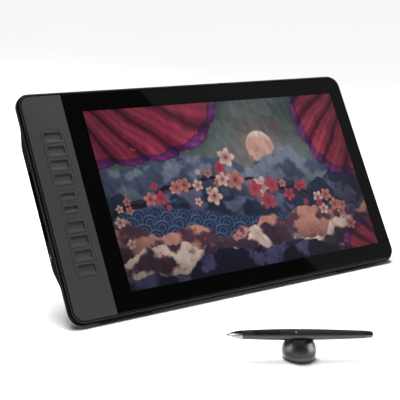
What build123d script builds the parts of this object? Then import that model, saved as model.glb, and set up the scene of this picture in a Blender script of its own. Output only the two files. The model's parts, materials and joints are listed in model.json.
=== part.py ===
from build123d import *
import os
from math import cos, hypot, radians, sin, sqrt

os.makedirs("parts", exist_ok=True)

# A drawing tablet with a screen, leaning back on its fold-out stand, and its pen lying across a round holder.
# All sizes are millimetres. The tablet is drawn lying on its back: +X to the right, +Y up the screen and +Z
# out of the glass, with zero at the middle of the screen on the front of the glass. One placement at the end
# leans it back.

# Screen and outer body
screen_width = 344.2
screen_height = 193.6
border_left = 20.8
border_right = 21.4
border_above = 23.7
border_below = 22.7
key_panel_width = 49.6
body_corner = 15.0
rim_depth = 9.0
belly_depth = 17.0
belly_above_screen = 69.0
belly_below_screen = 61.0
ramp_above = 16.0
ramp_below = 18.0
ramp_round = 18.0
rear_edge_round = 2.6
upright_share = 0.6
lean_angle = 55.0
overrun = 1.0
slip_gap = 0.05
fit_gap = 0.15
part_gap = 0.3
stop_gap = 0.1

# Front frame, with the glass and the key panel let into it
frame_depth = 5.0
frame_chamfer_in = 2.6
frame_chamfer_down = 2.4
frame_lip_drop = 0.25
face_inset = 3.6
ledge_width = 5.8
web_half_width = 4.6
glass_thickness = 1.1
tape_thickness = 0.3
tape_width = 4.6
panel_thickness = 2.2
panel_edge_round = 0.4

# Screen module and pen sensor behind the glass
cell_border = 3.4
cell_thickness = 1.2
guide_thickness = 2.0
led_bar_height = 2.4
tray_wall = 0.5
tray_gap = 0.3
digitizer_thickness = 0.8
digitizer_border = 6.2
shield_thickness = 0.3
foam_width = 26.0
foam_height = 13.0
foam_across_share = 0.36
foam_up_share = 0.42

# Rear cover
cover_wall = 2.4
cover_floor = 2.0
pocket_floor = 2.2
vent_width = 2.4
vent_length = 11.0
vent_pitch = 6.0
vent_count = 18
vent_below_ramp = 9.0

# Screws that hold the cover to the frame
case_screw_radius = 1.1
case_screw_head_radius = 2.0
case_screw_head_depth = 1.0
case_screw_length = 5.2
case_screw_across_shares = (-0.44, -0.16, 0.14, 0.44)
case_boss_radius = 2.7

# Four threaded inserts for an arm or wall plate
arm_hole_spacing = 75.0
arm_hole_radius = 2.0
arm_insert_radius = 3.0
arm_insert_length = 7.6
arm_boss_radius = 5.0

# Keys beside the screen
key_width = 24.3
key_height = 14.45
key_pitch = 14.8
key_corner = 3.8
key_proud = 0.25
key_edge_round = 0.35
keys_in_group = 4
keys_from_edge = 17.0
upper_keys_top = 79.6
lower_keys_top = -14.8
dish_width = 18.8
dish_height = 9.8
dish_depth = 1.2
dish_corner = 1.4
dish_slope = 2.4
dish_lip_depth = 0.2
dish_shift = 0.3
small_key_width = 20.5
small_key_height = 10.6
small_key_corner = 4.4
small_key_count = 2
small_key_pitch = 13.7
small_keys_from_edge = 18.8
small_keys_top = 15.2
small_dish_width = 14.8
small_dish_height = 5.6
small_dish_corner = 1.6
key_gap = 0.3
key_flange_width = 1.0
key_flange_thickness = 0.8
key_plunger_radius = 1.5
key_plunger_length = 0.6
key_travel = 0.8
dome_radius = 2.5
dome_height = 0.5
key_board_thickness = 1.2
key_board_left = 5.9
key_board_right = 4.4
key_board_above = 9.0
key_board_below = 10.0
key_post_radius = 1.8
key_post_above = 5.4
key_post_left = 3.6
board_screw_radius = 0.8
board_screw_head_radius = 1.5
board_screw_head_depth = 0.7
board_screw_length = 3.0

# Ports in the left wall
port_recess_depth = 3.6
port_recess_top = 42.0
port_recess_bottom = -32.0
port_recess_front = 7.4
port_recess_rear = 14.2
port_recess_round = 2.2
port_wall = 2.0
port_gap = 0.2
power_jack_width = 9.0
power_jack_height = 5.2
power_jack_length = 11.0
power_jack_hole_radius = 2.2
power_jack_pin_radius = 0.8
power_jack_hole_depth = 9.0
video_socket_width = 15.0
video_socket_height = 5.4
video_socket_length = 12.0
data_socket_width = 9.4
data_socket_height = 3.6
data_socket_length = 8.6
video_round_share = 0.3
data_round_share = 0.48
socket_shell = 0.45
tongue_inset = 1.6
tongue_thickness = 1.2
socket_floor = 2.0
power_jack_up = 29.0
video_socket_up = 8.0
data_socket_up = -17.0

# Main board
main_board_thickness = 1.2
main_board_lift = 0.7
main_board_from_arm = 16.15
main_board_up = 60.0
main_board_down = 54.0
main_boss_radius = 2.6
main_boss_inset = 4.4
chip_size = 20.0
chip_rise = 1.6
chip_size_shares = (1.0, 0.7, 0.45, 0.35, 0.35)
chip_rise_shares = (1.0, 0.75, 0.625, 1.375, 1.375)
chip_across_shares = (0.52, 0.78, 0.46, 0.72, 0.86)
chip_up_shares = (0.52, 0.72, 0.68, 0.30, 0.30)
cable_thickness = 0.25
display_cable_width = 22.0
display_cable_across_share = 0.7
display_cable_up_share = 0.5
cable_plug_length = 5.0
cable_plug_height = 1.1
cable_plug_gap = 1.0
cable_rise = 7.0
key_cable_width = 10.0
key_cable_up_share = 0.86

# Power button in the left wall
button_length = 9.0
button_width = 3.6
button_up = -47.0
button_behind_glass = 10.6
button_proud = 0.5
button_gap = 0.2
button_flange = 0.9
button_flange_thickness = 0.8
button_stem_width = 2.0
button_travel = 0.5
button_light_radius = 0.55
button_light_depth = 1.2
button_switch_size = 4.2
button_switch_height = 3.0

# Feet of the body
heel_length = 60.0
heel_across_share = 0.36
heel_thickness = 1.4
heel_clearance = 0.9
heel_up_rear = 8.0
heel_up_front = 5.6
rear_foot_width = 34.0
rear_foot_height = 9.0
rear_foot_thickness = 1.8
rear_foot_sunk = 0.6
rear_foot_across_share = 0.41
rear_foot_from_ramp = 9.5

# Fold-out stand
stand_width = 190.0
stand_arm = 24.0
stand_foot_bar = 22.0
stand_thickness = 4.2
stand_slope_angle = 62.27
stand_corner = 9.0
stand_window_corner = 7.0
stand_edge_round = 0.8
stand_rib_width = 2.4
stand_rib_height = 1.2
stand_hinge_above_screen = 58.0
stand_sunk = 4.3
stand_floor_gap = 0.3
stand_side_gap = 0.4
stand_barrel_radius = 2.6
stand_barrel_gap = 1.0
stand_pin_radius = 1.5
stand_pin_beyond = 6.0
stand_channel_floor = 2.0
stand_clip_length = 6.8
stand_clip_wall = 1.2
stand_clip_tail = 2.2
stand_clip_gap = 0.3
stand_pad_radius = 3.4
stand_pad_flat = 0.5
stand_pad_length = 150.0
stand_pad_grip = 2.6

# Pen, along X with its middle at zero
pen_length = 140.0
nib_radius = 0.85
nib_length = 9.5
nib_shows = 2.6
nib_travel = 1.0
nose_end = 14.5
nose_tip_radius = 1.45
nose_radius = 4.1
nose_bulge = 0.45
grip_end = 61.0
pen_cap_length = 9.5
pen_radius = 5.35
pen_cap_radius = 3.85
grip_swell_shares = ((0.0, 0.0), (0.333, 0.52), (0.656, 0.84), (1.0, 1.0))
barrel_taper_shares = ((0.245, 0.067), (0.504, 0.267), (0.763, 0.633), (1.0, 1.0))
pen_end_radius = 3.3
pen_end_round = 2.6
pen_seam = 0.25
pen_seam_depth = 0.3
pen_wall = 1.1
pen_front_bore = 3.1
pen_rear_bore = 3.65
pen_spigot_length = 5.0
pen_spigot_wall = 0.8
pen_cap_spigot_radius = 2.4
pen_cap_spigot_length = 6.0
pen_button_count = 2
pen_button_start = 24.6
pen_button_pitch = 12.8
pen_button_length = 12.0
pen_button_width = 4.4
pen_button_corner = 1.6
pen_button_proud = 0.5
pen_button_gap = 0.15
pen_button_travel = 0.4
pen_button_seat = 3.65
pen_button_turn = 42.0
pen_board_start = 29.2
pen_board_end = 55.0
pen_board_width = 4.8
pen_board_thickness = 0.8
pen_switch_radius = 0.9
pen_light_radius = 0.7
pen_light_at = 64.5
pen_light_depth = 1.6
coil_start = 15.2
coil_end = 24.2
coil_radius = 2.9
plunger_end = 24.0
sensor_end = 28.9
battery_start = 67.0
battery_end = 93.0
battery_radius = 3.45

# Pen holder, a ball cut flat below and hollowed above
ball_radius = 16.2
ball_centre_height = 7.0
holder_height = 18.4
holder_seam_height = 5.6
holder_seam = 0.3
holder_wall = 1.8
holder_foot_radius = 13.0
holder_foot_thickness = 1.2
holder_foot_shows = 0.5
holder_base_floor = 1.4
holder_spigot_radius = 12.2
holder_spigot_wall = 1.4
holder_spigot_rise = 3.0
bowl_radius = 10.4
bowl_depth = 6.5
bowl_wall = 1.4
bowl_edge_round = 0.4
notch_depth = 1.2
nib_block_radius = 9.6
nib_block_height = 5.0
nib_circle_radius = 7.4
spare_nib_count = 8
spare_nib_sunk = 4.6
puller_radius = 3.0
puller_wire = 0.7
holder_left_of_screen = 81.8
holder_ahead_of_heel = 146.2
pen_turn = -26.5

# Places worked out from the sizes above
seam_x = -screen_width / 2 - border_left
body_left = seam_x - key_panel_width
body_right = screen_width / 2 + border_right
body_bottom = -screen_height / 2 - border_below
body_top = screen_height / 2 + border_above
body_width = body_right - body_left
body_height = body_top - body_bottom
middle_x = (body_left + body_right) / 2
middle_y = (body_bottom + body_top) / 2
face_left = body_left + face_inset
face_right = body_right - face_inset
face_bottom = body_bottom + face_inset
face_top = body_top - face_inset
face_corner = body_corner - face_inset
keys_left = body_left + keys_from_edge
small_keys_left = body_left + small_keys_from_edge
glass_ledge = glass_thickness + tape_thickness
cover_rim_inside = rim_depth - cover_floor
pocket_inside = belly_depth - pocket_floor
hinge_depth = belly_depth - stand_sunk + (stand_thickness + stand_floor_gap) / 2
channel_depth = hinge_depth - stand_thickness / 2 - stand_floor_gap
channel_inside = channel_depth - stand_channel_floor
low_corner = (
    (body_bottom + rear_edge_round) * sin(radians(lean_angle))
    - (rim_depth - rear_edge_round) * cos(radians(lean_angle))
    - rear_edge_round
)
floor_level = low_corner - heel_clearance
hinge_height = (
    stand_hinge_above_screen * sin(radians(lean_angle)) - hinge_depth * cos(radians(lean_angle)) - floor_level
)
stand_length = (hinge_height - stand_pad_radius + stand_pad_flat) / sin(radians(stand_slope_angle))
stand_left = middle_x - stand_width / 2
stand_right = middle_x + stand_width / 2
hinge_reach = stand_side_gap + stand_pin_beyond
main_board_front = pocket_inside - main_board_lift - main_board_thickness
main_board_left = body_left + port_recess_depth + port_wall + fit_gap + part_gap
main_board_right = stand_left - hinge_reach - cover_wall - main_board_from_arm
button_switch_gap = button_travel + part_gap
key_board_gap = key_flange_thickness + key_plunger_length + key_travel + stop_gap + dome_height
pen_switch_gap = pen_button_travel + stop_gap
cap_start = pen_length - pen_cap_length
sensor_start = plunger_end + nib_travel + fit_gap


def block(x_low, x_high, y_low, y_high, z_low, z_high):
    """A plain block between two corners."""
    middle = Pos((x_low + x_high) / 2, (y_low + y_high) / 2, (z_low + z_high) / 2)
    return middle * Box(x_high - x_low, y_high - y_low, z_high - z_low)


def rounded_block(x_low, x_high, y_low, y_high, z_low, z_high, corner):
    """A block whose four upright edges are round."""
    outline = RectangleRounded(x_high - x_low, y_high - y_low, corner)
    place = Pos((x_low + x_high) / 2, (y_low + y_high) / 2, z_low)
    return place * extrude(outline, z_high - z_low)


def wall_block(x_low, x_high, y_low, y_high, z_low, z_high, corner):
    """A block whose four edges along X are round, for what goes through a side wall."""
    outline = Plane.YZ * RectangleRounded(y_high - y_low, z_high - z_low, corner)
    place = Pos(x_low, (y_low + y_high) / 2, (z_low + z_high) / 2)
    return place * extrude(outline, x_high - x_low)


def rod_x(x_low, x_high, y, z, radius):
    """A round bar along X."""
    return Pos((x_low + x_high) / 2, y, z) * Rot(0, 90, 0) * Cylinder(radius, x_high - x_low)


def rod_z(x, y, z_low, z_high, radius):
    """A round bar along Z."""
    return Pos(x, y, (z_low + z_high) / 2) * Cylinder(radius, z_high - z_low)


def bar_x(points, x_low, x_high, rounds=None):
    """A bar along X, its section drawn through (y, z) points, with a radius at the corners in rounds."""
    section = make_face(Polyline(*points, close=True))
    for corner, radius in rounds or ():
        near = sorted(section.vertices(), key=lambda v: hypot(v.X - corner[0], v.Y - corner[1]))
        section = fillet(near[0], radius)
    return Pos(x_low, 0, 0) * extrude(Plane.YZ * section, x_high - x_low)


def turned(points):
    """A solid turned about X from the half outline through (x, radius) points."""
    section = make_face(Polyline(*points, close=True))
    return revolve(section, Axis.X)


def on_outer_wall(edge):
    """Whether an edge lies on the rear rim of the body's side wall."""
    spot = edge @ 0.5
    inside_x = body_left + body_corner / 2 < spot.X < body_right - body_corner / 2
    inside_y = body_bottom + body_corner / 2 < spot.Y < body_top - body_corner / 2
    upright = abs((edge % 0.5).Z) > upright_share and abs((edge @ 0).Z - (edge @ 1).Z) > rim_depth / 2
    return not (inside_x and inside_y) and not upright and spot.Z < -frame_depth - overrun


def floor_cut():
    """Everything below the floor the tablet stands on, in the tablet's own frame."""
    size = body_width
    lower = Pos(0, 0, floor_level - size / 2) * Box(2 * size, 2 * size, size)
    return Rot(-lean_angle, 0, 0) * lower


def belly_section():
    """The rear of the body as seen from its side: a thin rim, a ramp and a deep belly."""
    top_ramp = (belly_above_screen + ramp_above, -rim_depth)
    top_belly = (belly_above_screen, -belly_depth)
    low_belly = (-belly_below_screen, -belly_depth)
    low_ramp = (-belly_below_screen - ramp_below, -rim_depth)
    points = (
        (body_top + overrun, -frame_depth),
        (body_top + overrun, -rim_depth),
        top_ramp,
        top_belly,
        low_belly,
        low_ramp,
        (body_bottom - overrun, -rim_depth),
        (body_bottom - overrun, -frame_depth),
    )
    rounds = [(corner, ramp_round) for corner in (top_ramp, top_belly, low_belly, low_ramp)]
    return bar_x(points, body_left - overrun, body_right + overrun, rounds)


def arm_spans():
    """The left and right limits of the two arms of the stand."""
    return ((stand_left, stand_left + stand_arm), (stand_right - stand_arm, stand_right))


def case_screw_spots():
    """Where the screws go, along the top and the bottom edges."""
    rows = (face_top - ledge_width / 2, face_bottom + ledge_width / 2)
    return [(middle_x + share * body_width, row) for row in rows for share in case_screw_across_shares]


def arm_hole_spots():
    """The four corners of the square of threaded inserts."""
    half = arm_hole_spacing / 2
    return [(middle_x + i * half, middle_y + j * half) for i in (-1, 1) for j in (-1, 1)]


def key_post_spots():
    """Where the key board is screwed to the posts of the key panel."""
    key_middle = keys_left + key_width / 2
    group_height = keys_in_group * key_pitch
    upper_low = upper_keys_top - group_height
    return (
        (key_middle, upper_keys_top + key_post_above),
        (key_middle, lower_keys_top - group_height - key_post_above),
        (keys_left - key_post_left, upper_low - key_post_radius),
        (keys_left - key_post_left, lower_keys_top + key_post_radius),
    )


def key_board_limits():
    """Left, right, bottom and top of the key board."""
    return (
        keys_left - key_board_left - key_post_radius,
        keys_left + key_width + key_board_right - key_post_radius,
        lower_keys_top - keys_in_group * key_pitch - key_board_below,
        upper_keys_top + key_board_above,
    )


def main_board_limits():
    """Left, right, bottom and top of the main board."""
    return (main_board_left, main_board_right, -main_board_down, main_board_up)


def main_boss_spots():
    """Where the main board is screwed down."""
    left, right, low, high = main_board_limits()
    inset = main_boss_inset
    return [(x, y) for x in (left + 2 * inset, right - inset) for y in (low + inset, high - inset)]


def make_front_frame():
    """The ring that carries the glass and the key panel, with a web behind their seam."""
    frame = rounded_block(
        body_left, body_right, body_bottom, body_top, -frame_depth, -frame_lip_drop, body_corner
    )
    frame = chamfer(frame.edges().group_by(Axis.Z)[-1], frame_chamfer_in, frame_chamfer_down)
    frame -= rounded_block(
        face_left, face_right, face_bottom, face_top, -panel_thickness, overrun, face_corner
    )
    glass_seat = block(
        seam_x, face_right + overrun, face_bottom - overrun, face_top + overrun,
        -panel_thickness, -glass_ledge
    )
    glass_seat &= rounded_block(
        face_left - slip_gap, face_right + slip_gap, face_bottom - slip_gap, face_top + slip_gap,
        -frame_depth, overrun, face_corner
    )
    frame += glass_seat
    low, high = face_bottom + ledge_width, face_top - ledge_width
    below = -frame_depth - overrun
    frame -= block(face_left + ledge_width, seam_x - web_half_width, low, high, below, overrun)
    frame -= block(seam_x + web_half_width, face_right - ledge_width, low, high, below, overrun)
    for x, y in case_screw_spots():
        frame += rod_z(x, y, -cover_rim_inside, -frame_depth, case_boss_radius)
    for x, y in case_screw_spots():
        tip = -rim_depth + case_screw_head_depth + case_screw_length + part_gap
        frame -= rod_z(x, y, -cover_rim_inside - overrun, tip, case_screw_radius + slip_gap)
    return frame


def make_face_parts():
    """The glass, the tape that holds it and the grey key panel beside it."""
    whole = rounded_block(
        face_left + fit_gap, face_right - fit_gap, face_bottom + fit_gap, face_top - fit_gap,
        -panel_thickness, 0, face_corner - fit_gap
    )
    right_side = block(seam_x + fit_gap, body_right, body_bottom, body_top, -glass_thickness, overrun)
    glass = whole & right_side
    glass = chamfer(glass.edges().group_by(Axis.Z)[-1], fit_gap)
    tape = whole & block(seam_x + fit_gap, body_right, body_bottom, body_top, -glass_ledge, -glass_thickness)
    tape_x, tape_y = screen_width / 2 + tape_width, screen_height / 2 + tape_width
    tape -= block(-tape_x, tape_x, -tape_y, tape_y, -belly_depth, overrun)
    panel = whole & block(body_left, seam_x - fit_gap, body_bottom, body_top, -panel_thickness, overrun)
    panel = fillet(panel.edges().group_by(Axis.Z)[-1], panel_edge_round)
    for top in (upper_keys_top, lower_keys_top):
        panel -= rounded_block(
            keys_left - key_gap, keys_left + key_width + key_gap,
            top - keys_in_group * key_pitch + key_pitch - key_height - key_gap, top + key_gap,
            -belly_depth, overrun, key_corner + key_gap
        )
    for top in small_key_tops():
        panel -= rounded_block(
            small_keys_left - key_gap, small_keys_left + small_key_width + key_gap,
            top - small_key_height - key_gap, top + key_gap,
            -belly_depth, overrun, small_key_corner + key_gap
        )
    for x, y in key_post_spots():
        post_end = -panel_thickness - key_board_gap
        panel += rod_z(x, y, post_end, -panel_thickness, key_post_radius)
        panel -= rod_z(
            x, y, post_end - overrun, post_end + board_screw_length - key_board_thickness + slip_gap,
            board_screw_radius + slip_gap
        )
    return {"cover_glass": glass, "glass_tape": tape, "key_panel": panel}


def small_key_tops():
    """The top edge of each small key."""
    return [small_keys_top - place * small_key_pitch for place in range(small_key_count)]


def key_dish(middle_across, middle_up, width, height, corner):
    """The hollow in a key's top, steep above and at its sides, with a slope along its lower edge."""
    low, high = middle_up - height / 2, middle_up + height / 2
    top = key_proud + overrun
    hollow = bar_x(
        (
            (high, top), (high, key_proud - dish_depth), (low + dish_slope, key_proud - dish_depth),
            (low, key_proud - dish_lip_depth), (low, top),
        ),
        middle_across - width / 2, middle_across + width / 2,
    )
    return hollow & rounded_block(
        middle_across - width / 2, middle_across + width / 2, low, high,
        key_proud - 2 * dish_depth, top, corner
    )


def make_key(left, top, width, height, outline, dish_size):
    """One key: its cap with a hollow on top, side flanges that rest under the panel, and a plunger."""
    depth = panel_thickness + key_flange_thickness
    cap = outline & block(left, left + width, top - height, top, -depth, key_proud)
    cap = fillet(cap.edges().group_by(Axis.Z)[-1], key_edge_round)
    middle_across, middle_up = left + width / 2, top - height / 2
    cap -= key_dish(middle_across, middle_up - dish_shift, *dish_size)
    inset = min(key_corner, height / 3)
    cap += block(
        left - key_flange_width, left + width + key_flange_width, top - height + inset, top - inset,
        -depth, -panel_thickness
    )
    cap += rod_z(middle_across, middle_up, -depth - key_plunger_length, -depth, key_plunger_radius)
    return cap


def make_keys():
    """Two columns of four large keys, and two small ones between them."""
    keys = {}
    depth = panel_thickness + key_flange_thickness
    number = 0
    for group_top in (upper_keys_top, lower_keys_top):
        group_low = group_top - (keys_in_group - 1) * key_pitch - key_height
        outline = rounded_block(
            keys_left, keys_left + key_width, group_low, group_top, -depth, key_proud, key_corner
        )
        for place in range(keys_in_group):
            number += 1
            keys[f"express_key_{number}"] = make_key(
                keys_left, group_top - place * key_pitch, key_width, key_height, outline,
                (dish_width, dish_height, dish_corner)
            )
    for place, top in enumerate(small_key_tops()):
        outline = rounded_block(
            small_keys_left, small_keys_left + small_key_width, top - small_key_height, top,
            -depth, key_proud, small_key_corner
        )
        keys[f"small_key_{place + 1}"] = make_key(
            small_keys_left, top, small_key_width, small_key_height, outline,
            (small_dish_width, small_dish_height, small_dish_corner)
        )
    return keys


def key_middles():
    """The middle of every key, large ones first."""
    spots = []
    for group_top in (upper_keys_top, lower_keys_top):
        for place in range(keys_in_group):
            up = group_top - place * key_pitch - key_height / 2
            spots.append((keys_left + key_width / 2, up))
    for top in small_key_tops():
        spots.append((small_keys_left + small_key_width / 2, top - small_key_height / 2))
    return spots


def make_key_board():
    """The board under the keys, its snap domes and its screws."""
    left, right, low, high = key_board_limits()
    front = -panel_thickness - key_board_gap
    board = rounded_block(left, right, low, high, front - key_board_thickness, front, key_post_radius)
    domes = []
    for x, y in key_middles():
        dome = rod_z(x, y, front, front + dome_height, dome_radius)
        domes.append(chamfer(dome.edges().group_by(Axis.Z)[-1], dome_height / 2))
    screws = []
    back = front - key_board_thickness
    for x, y in key_post_spots():
        board -= rod_z(x, y, back - overrun, front + overrun, board_screw_radius + slip_gap)
        screw = rod_z(x, y, back, back + board_screw_length, board_screw_radius)
        screws.append(screw + rod_z(x, y, back - board_screw_head_depth, back, board_screw_head_radius))
    return {"key_board": board, "key_domes": domes, "board_screws": screws}


def make_screen_module():
    """The screen cell, its light guide and light bar in a steel tray, and the pen sensor behind them."""
    cell_x, cell_y = screen_width / 2 + cell_border, screen_height / 2 + cell_border
    front = -glass_ledge
    cell = block(-cell_x, cell_x, -cell_y, cell_y, front - cell_thickness, front)
    guide_top = front - cell_thickness
    guide = block(-cell_x, cell_x, -cell_y + led_bar_height, cell_y, guide_top - guide_thickness, guide_top)
    lights = block(-cell_x, cell_x, -cell_y, -cell_y + led_bar_height, guide_top - guide_thickness, guide_top)
    tray_back = guide_top - guide_thickness
    tray_x, tray_y = cell_x + tray_gap, cell_y + tray_gap
    tray = block(
        -tray_x - tray_wall, tray_x + tray_wall, -tray_y - tray_wall, tray_y + tray_wall,
        tray_back - tray_wall, front
    )
    tray -= block(-tray_x, tray_x, -tray_y, tray_y, tray_back, overrun)
    sensor_top = tray_back - tray_wall
    sensor_x, sensor_y = screen_width / 2 + digitizer_border, screen_height / 2 + digitizer_border
    sensor = block(-sensor_x, sensor_x, -sensor_y, sensor_y, sensor_top - digitizer_thickness, sensor_top)
    shield_top = sensor_top - digitizer_thickness
    shield = block(-sensor_x, sensor_x, -sensor_y, sensor_y, shield_top - shield_thickness, shield_top)
    foam = []
    foam_top = shield_top - shield_thickness
    for across in (-1, 1):
        for up in (-1, 1):
            x = across * foam_across_share * screen_width
            y = up * foam_up_share * body_height
            foam.append(block(
                x - foam_width / 2, x + foam_width / 2, y - foam_height / 2, y + foam_height / 2,
                -cover_rim_inside, foam_top
            ))
    return {
        "screen_cell": cell, "light_guide": guide, "light_bar": lights, "screen_tray": tray,
        "pen_sensor_board": sensor, "shield_plate": shield, "foam_pads": foam,
    }


def make_rear_cover():
    """The rear shell: a thin rim, a deep belly, channels for the stand and a recess for the ports."""
    slab = rounded_block(
        body_left, body_right, body_bottom, body_top, -belly_depth - overrun, -frame_depth, body_corner
    )
    cover = slab & belly_section()
    cover = fillet([edge for edge in cover.edges() if on_outer_wall(edge)], rear_edge_round)

    rim_inside = rounded_block(
        body_left + cover_wall, body_right - cover_wall, body_bottom + cover_wall, body_top - cover_wall,
        -cover_rim_inside, overrun, body_corner - cover_wall
    )
    belly_low, belly_high = -belly_below_screen + cover_wall, belly_above_screen - cover_wall
    inside_left, inside_right = body_left + cover_wall, body_right - cover_wall
    middle_layer = block(inside_left, inside_right, belly_low, belly_high, -channel_inside, overrun)
    cover -= rim_inside
    cover -= middle_layer
    (left_arm, right_arm) = arm_spans()
    side = stand_side_gap + cover_wall
    inner_limits = (
        (inside_left, left_arm[0] - side - stand_pin_beyond),
        (left_arm[1] + side + stand_pin_beyond, right_arm[0] - side - stand_pin_beyond),
        (right_arm[1] + side + stand_pin_beyond, inside_right),
    )
    for low, high in inner_limits:
        cover -= block(low, high, belly_low, belly_high, -pocket_inside, overrun)

    recess_low, recess_high = port_recess_bottom, port_recess_top
    wall_top = -port_recess_front + port_wall
    cover += block(
        inside_left - overrun, body_left + port_recess_depth + port_wall, recess_low - port_wall,
        recess_high + port_wall, -pocket_inside - overrun, wall_top
    )
    cover -= wall_block(
        body_left - overrun, body_left + port_recess_depth, recess_low, recess_high,
        -port_recess_rear, -port_recess_front, port_recess_round
    )
    for _, up, width, height in socket_places():
        cover -= block(
            body_left, body_left + port_recess_depth + port_wall + overrun, up - width / 2 - port_gap,
            up + width / 2 + port_gap, -main_board_front - port_gap, -main_board_front + height + port_gap
        )

    half_length, half_width = button_length / 2 + button_gap, button_width / 2 + button_gap
    cover -= wall_block(
        body_left - overrun, inside_left + overrun, button_up - half_length, button_up + half_length,
        -button_behind_glass - half_width, -button_behind_glass + half_width, half_width - slip_gap
    )

    hinge_y, hinge_z = stand_hinge_above_screen, -hinge_depth
    reach = stand_barrel_radius + stand_barrel_gap
    for low, high in arm_spans():
        cover += block(
            low - side - stand_pin_beyond, high + side + stand_pin_beyond,
            hinge_y - 2 * reach, hinge_y + 2 * reach,
            -pocket_inside - overrun, -channel_inside + cover_floor
        )
        cover -= block(
            low - stand_side_gap, high + stand_side_gap, body_bottom, hinge_y + reach,
            -belly_depth - overrun, -channel_depth
        )
        cover -= block(
            low - stand_side_gap, high + stand_side_gap, hinge_y - reach, hinge_y + reach,
            -belly_depth - overrun, hinge_z + reach
        )
        cover -= rod_x(
            low - hinge_reach - slip_gap, high + hinge_reach + slip_gap, hinge_y, hinge_z,
            stand_pin_radius + slip_gap
        )
        cover -= clip_tail(low, stand_clip_gap / 2)

    head_seat = -rim_depth + case_screw_head_depth
    for x, y in case_screw_spots():
        cover -= rod_z(x, y, -belly_depth, head_seat, case_screw_head_radius + fit_gap)
        cover -= rod_z(x, y, -belly_depth, overrun, case_screw_radius + fit_gap)
    for x, y in arm_hole_spots():
        cover += rod_z(x, y, -pocket_inside - overrun, -belly_depth + arm_insert_length, arm_boss_radius)
        cover -= rod_z(x, y, -belly_depth - overrun, 0, arm_insert_radius)
    for x, y in main_boss_spots():
        cover += rod_z(x, y, -pocket_inside - overrun, -pocket_inside + main_board_lift, main_boss_radius)
    first = middle_x - (vent_count - 1) * vent_pitch / 2
    for place in range(vent_count):
        x = first + place * vent_pitch
        y = belly_above_screen - vent_below_ramp
        cover -= rounded_block(
            x - vent_width / 2, x + vent_width / 2, y - vent_length, y, -belly_depth - overrun, 0,
            vent_width / 2 - slip_gap
        )
    for low, high, foot_low, foot_high in rear_foot_limits():
        cover -= rounded_block(
            low - fit_gap, high + fit_gap, foot_low - fit_gap, foot_high + fit_gap, -belly_depth - overrun,
            -belly_depth + rear_foot_sunk, rear_foot_height / 2
        )
    return cover


def rear_foot_limits():
    """Left, right, bottom and top of the four rubber feet on the belly."""
    limits = []
    for across in (-1, 1):
        for middle in (belly_above_screen - rear_foot_from_ramp, -belly_below_screen + rear_foot_from_ramp):
            x = middle_x + across * rear_foot_across_share * body_width
            half_width, half_height = rear_foot_width / 2, rear_foot_height / 2
            limits.append((x - half_width, x + half_width, middle - half_height, middle + half_height))
    return limits


def make_rear_feet():
    """Four rubber feet for use flat on a desk."""
    feet = []
    for low, high, foot_low, foot_high in rear_foot_limits():
        foot = rounded_block(
            low, high, foot_low, foot_high, -belly_depth - rear_foot_thickness + rear_foot_sunk,
            -belly_depth + rear_foot_sunk, rear_foot_height / 2 - slip_gap
        )
        feet.append(chamfer(foot.edges().group_by(Axis.Z)[0], rear_foot_sunk))
    return feet


def make_heel_pads():
    """Two rubber pads round the lower rear edge, cut flat where they stand on the floor."""
    wall_low, wall_back = body_bottom - slip_gap, -rim_depth - slip_gap
    inner = bar_x(
        (
            (wall_low, 0), (wall_low, wall_back), (body_bottom + body_corner, wall_back),
            (body_bottom + body_corner, 0),
        ),
        body_left, body_right, [((wall_low, wall_back), rear_edge_round + slip_gap)],
    )
    pad_low, pad_back = body_bottom - heel_thickness, -rim_depth - heel_thickness
    pad_high = body_bottom + heel_up_rear
    outer = bar_x(
        ((pad_low, -heel_up_front), (pad_low, pad_back), (pad_high, pad_back), (pad_high, -heel_up_front)),
        -heel_length / 2, heel_length / 2, [((pad_low, pad_back), rear_edge_round)],
    )
    pad = outer - inner - floor_cut()
    return [
        Pos(middle_x + side * heel_across_share * body_width, 0, 0) * pad for side in (-1, 1)
    ]


def socket_places():
    """Name, height up the side, width and height of each socket."""
    return (
        ("power_jack", power_jack_up, power_jack_width, power_jack_height),
        ("video_socket", video_socket_up, video_socket_width, video_socket_height),
        ("data_socket", data_socket_up, data_socket_width, data_socket_height),
    )


def make_sockets():
    """A round power jack and two shelled sockets on the main board, with their mouths in the recess."""
    mouth = body_left + port_recess_depth
    base = -main_board_front
    jack_z = base + power_jack_height / 2
    jack = block(
        mouth, mouth + power_jack_length, power_jack_up - power_jack_width / 2,
        power_jack_up + power_jack_width / 2, base, base + power_jack_height
    )
    hole_end = mouth + power_jack_hole_depth
    jack -= rod_x(mouth - overrun, hole_end, power_jack_up, jack_z, power_jack_hole_radius)
    jack += rod_x(mouth + socket_shell, hole_end, power_jack_up, jack_z, power_jack_pin_radius)
    sockets = {"power_jack": jack}
    lengths = (video_socket_length, data_socket_length)
    round_shares = (video_round_share, data_round_share)
    for (name, up, width, height), length, round_share in zip(socket_places()[1:], lengths, round_shares):
        end = mouth + length
        shell = wall_block(
            mouth, end, up - width / 2, up + width / 2, base, base + height, round_share * height
        )
        inner = height - 2 * socket_shell
        hollow = wall_block(
            mouth - overrun, end - socket_floor, up - width / 2 + socket_shell, up + width / 2 - socket_shell,
            base + socket_shell, base + height - socket_shell, round_share * inner
        )
        tongue = block(
            mouth + socket_floor / 2, end - socket_floor, up - width / 2 + tongue_inset,
            up + width / 2 - tongue_inset, base + height / 2 - tongue_thickness / 2,
            base + height / 2 + tongue_thickness / 2
        )
        sockets[name] = shell - hollow + tongue
    return sockets


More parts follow.
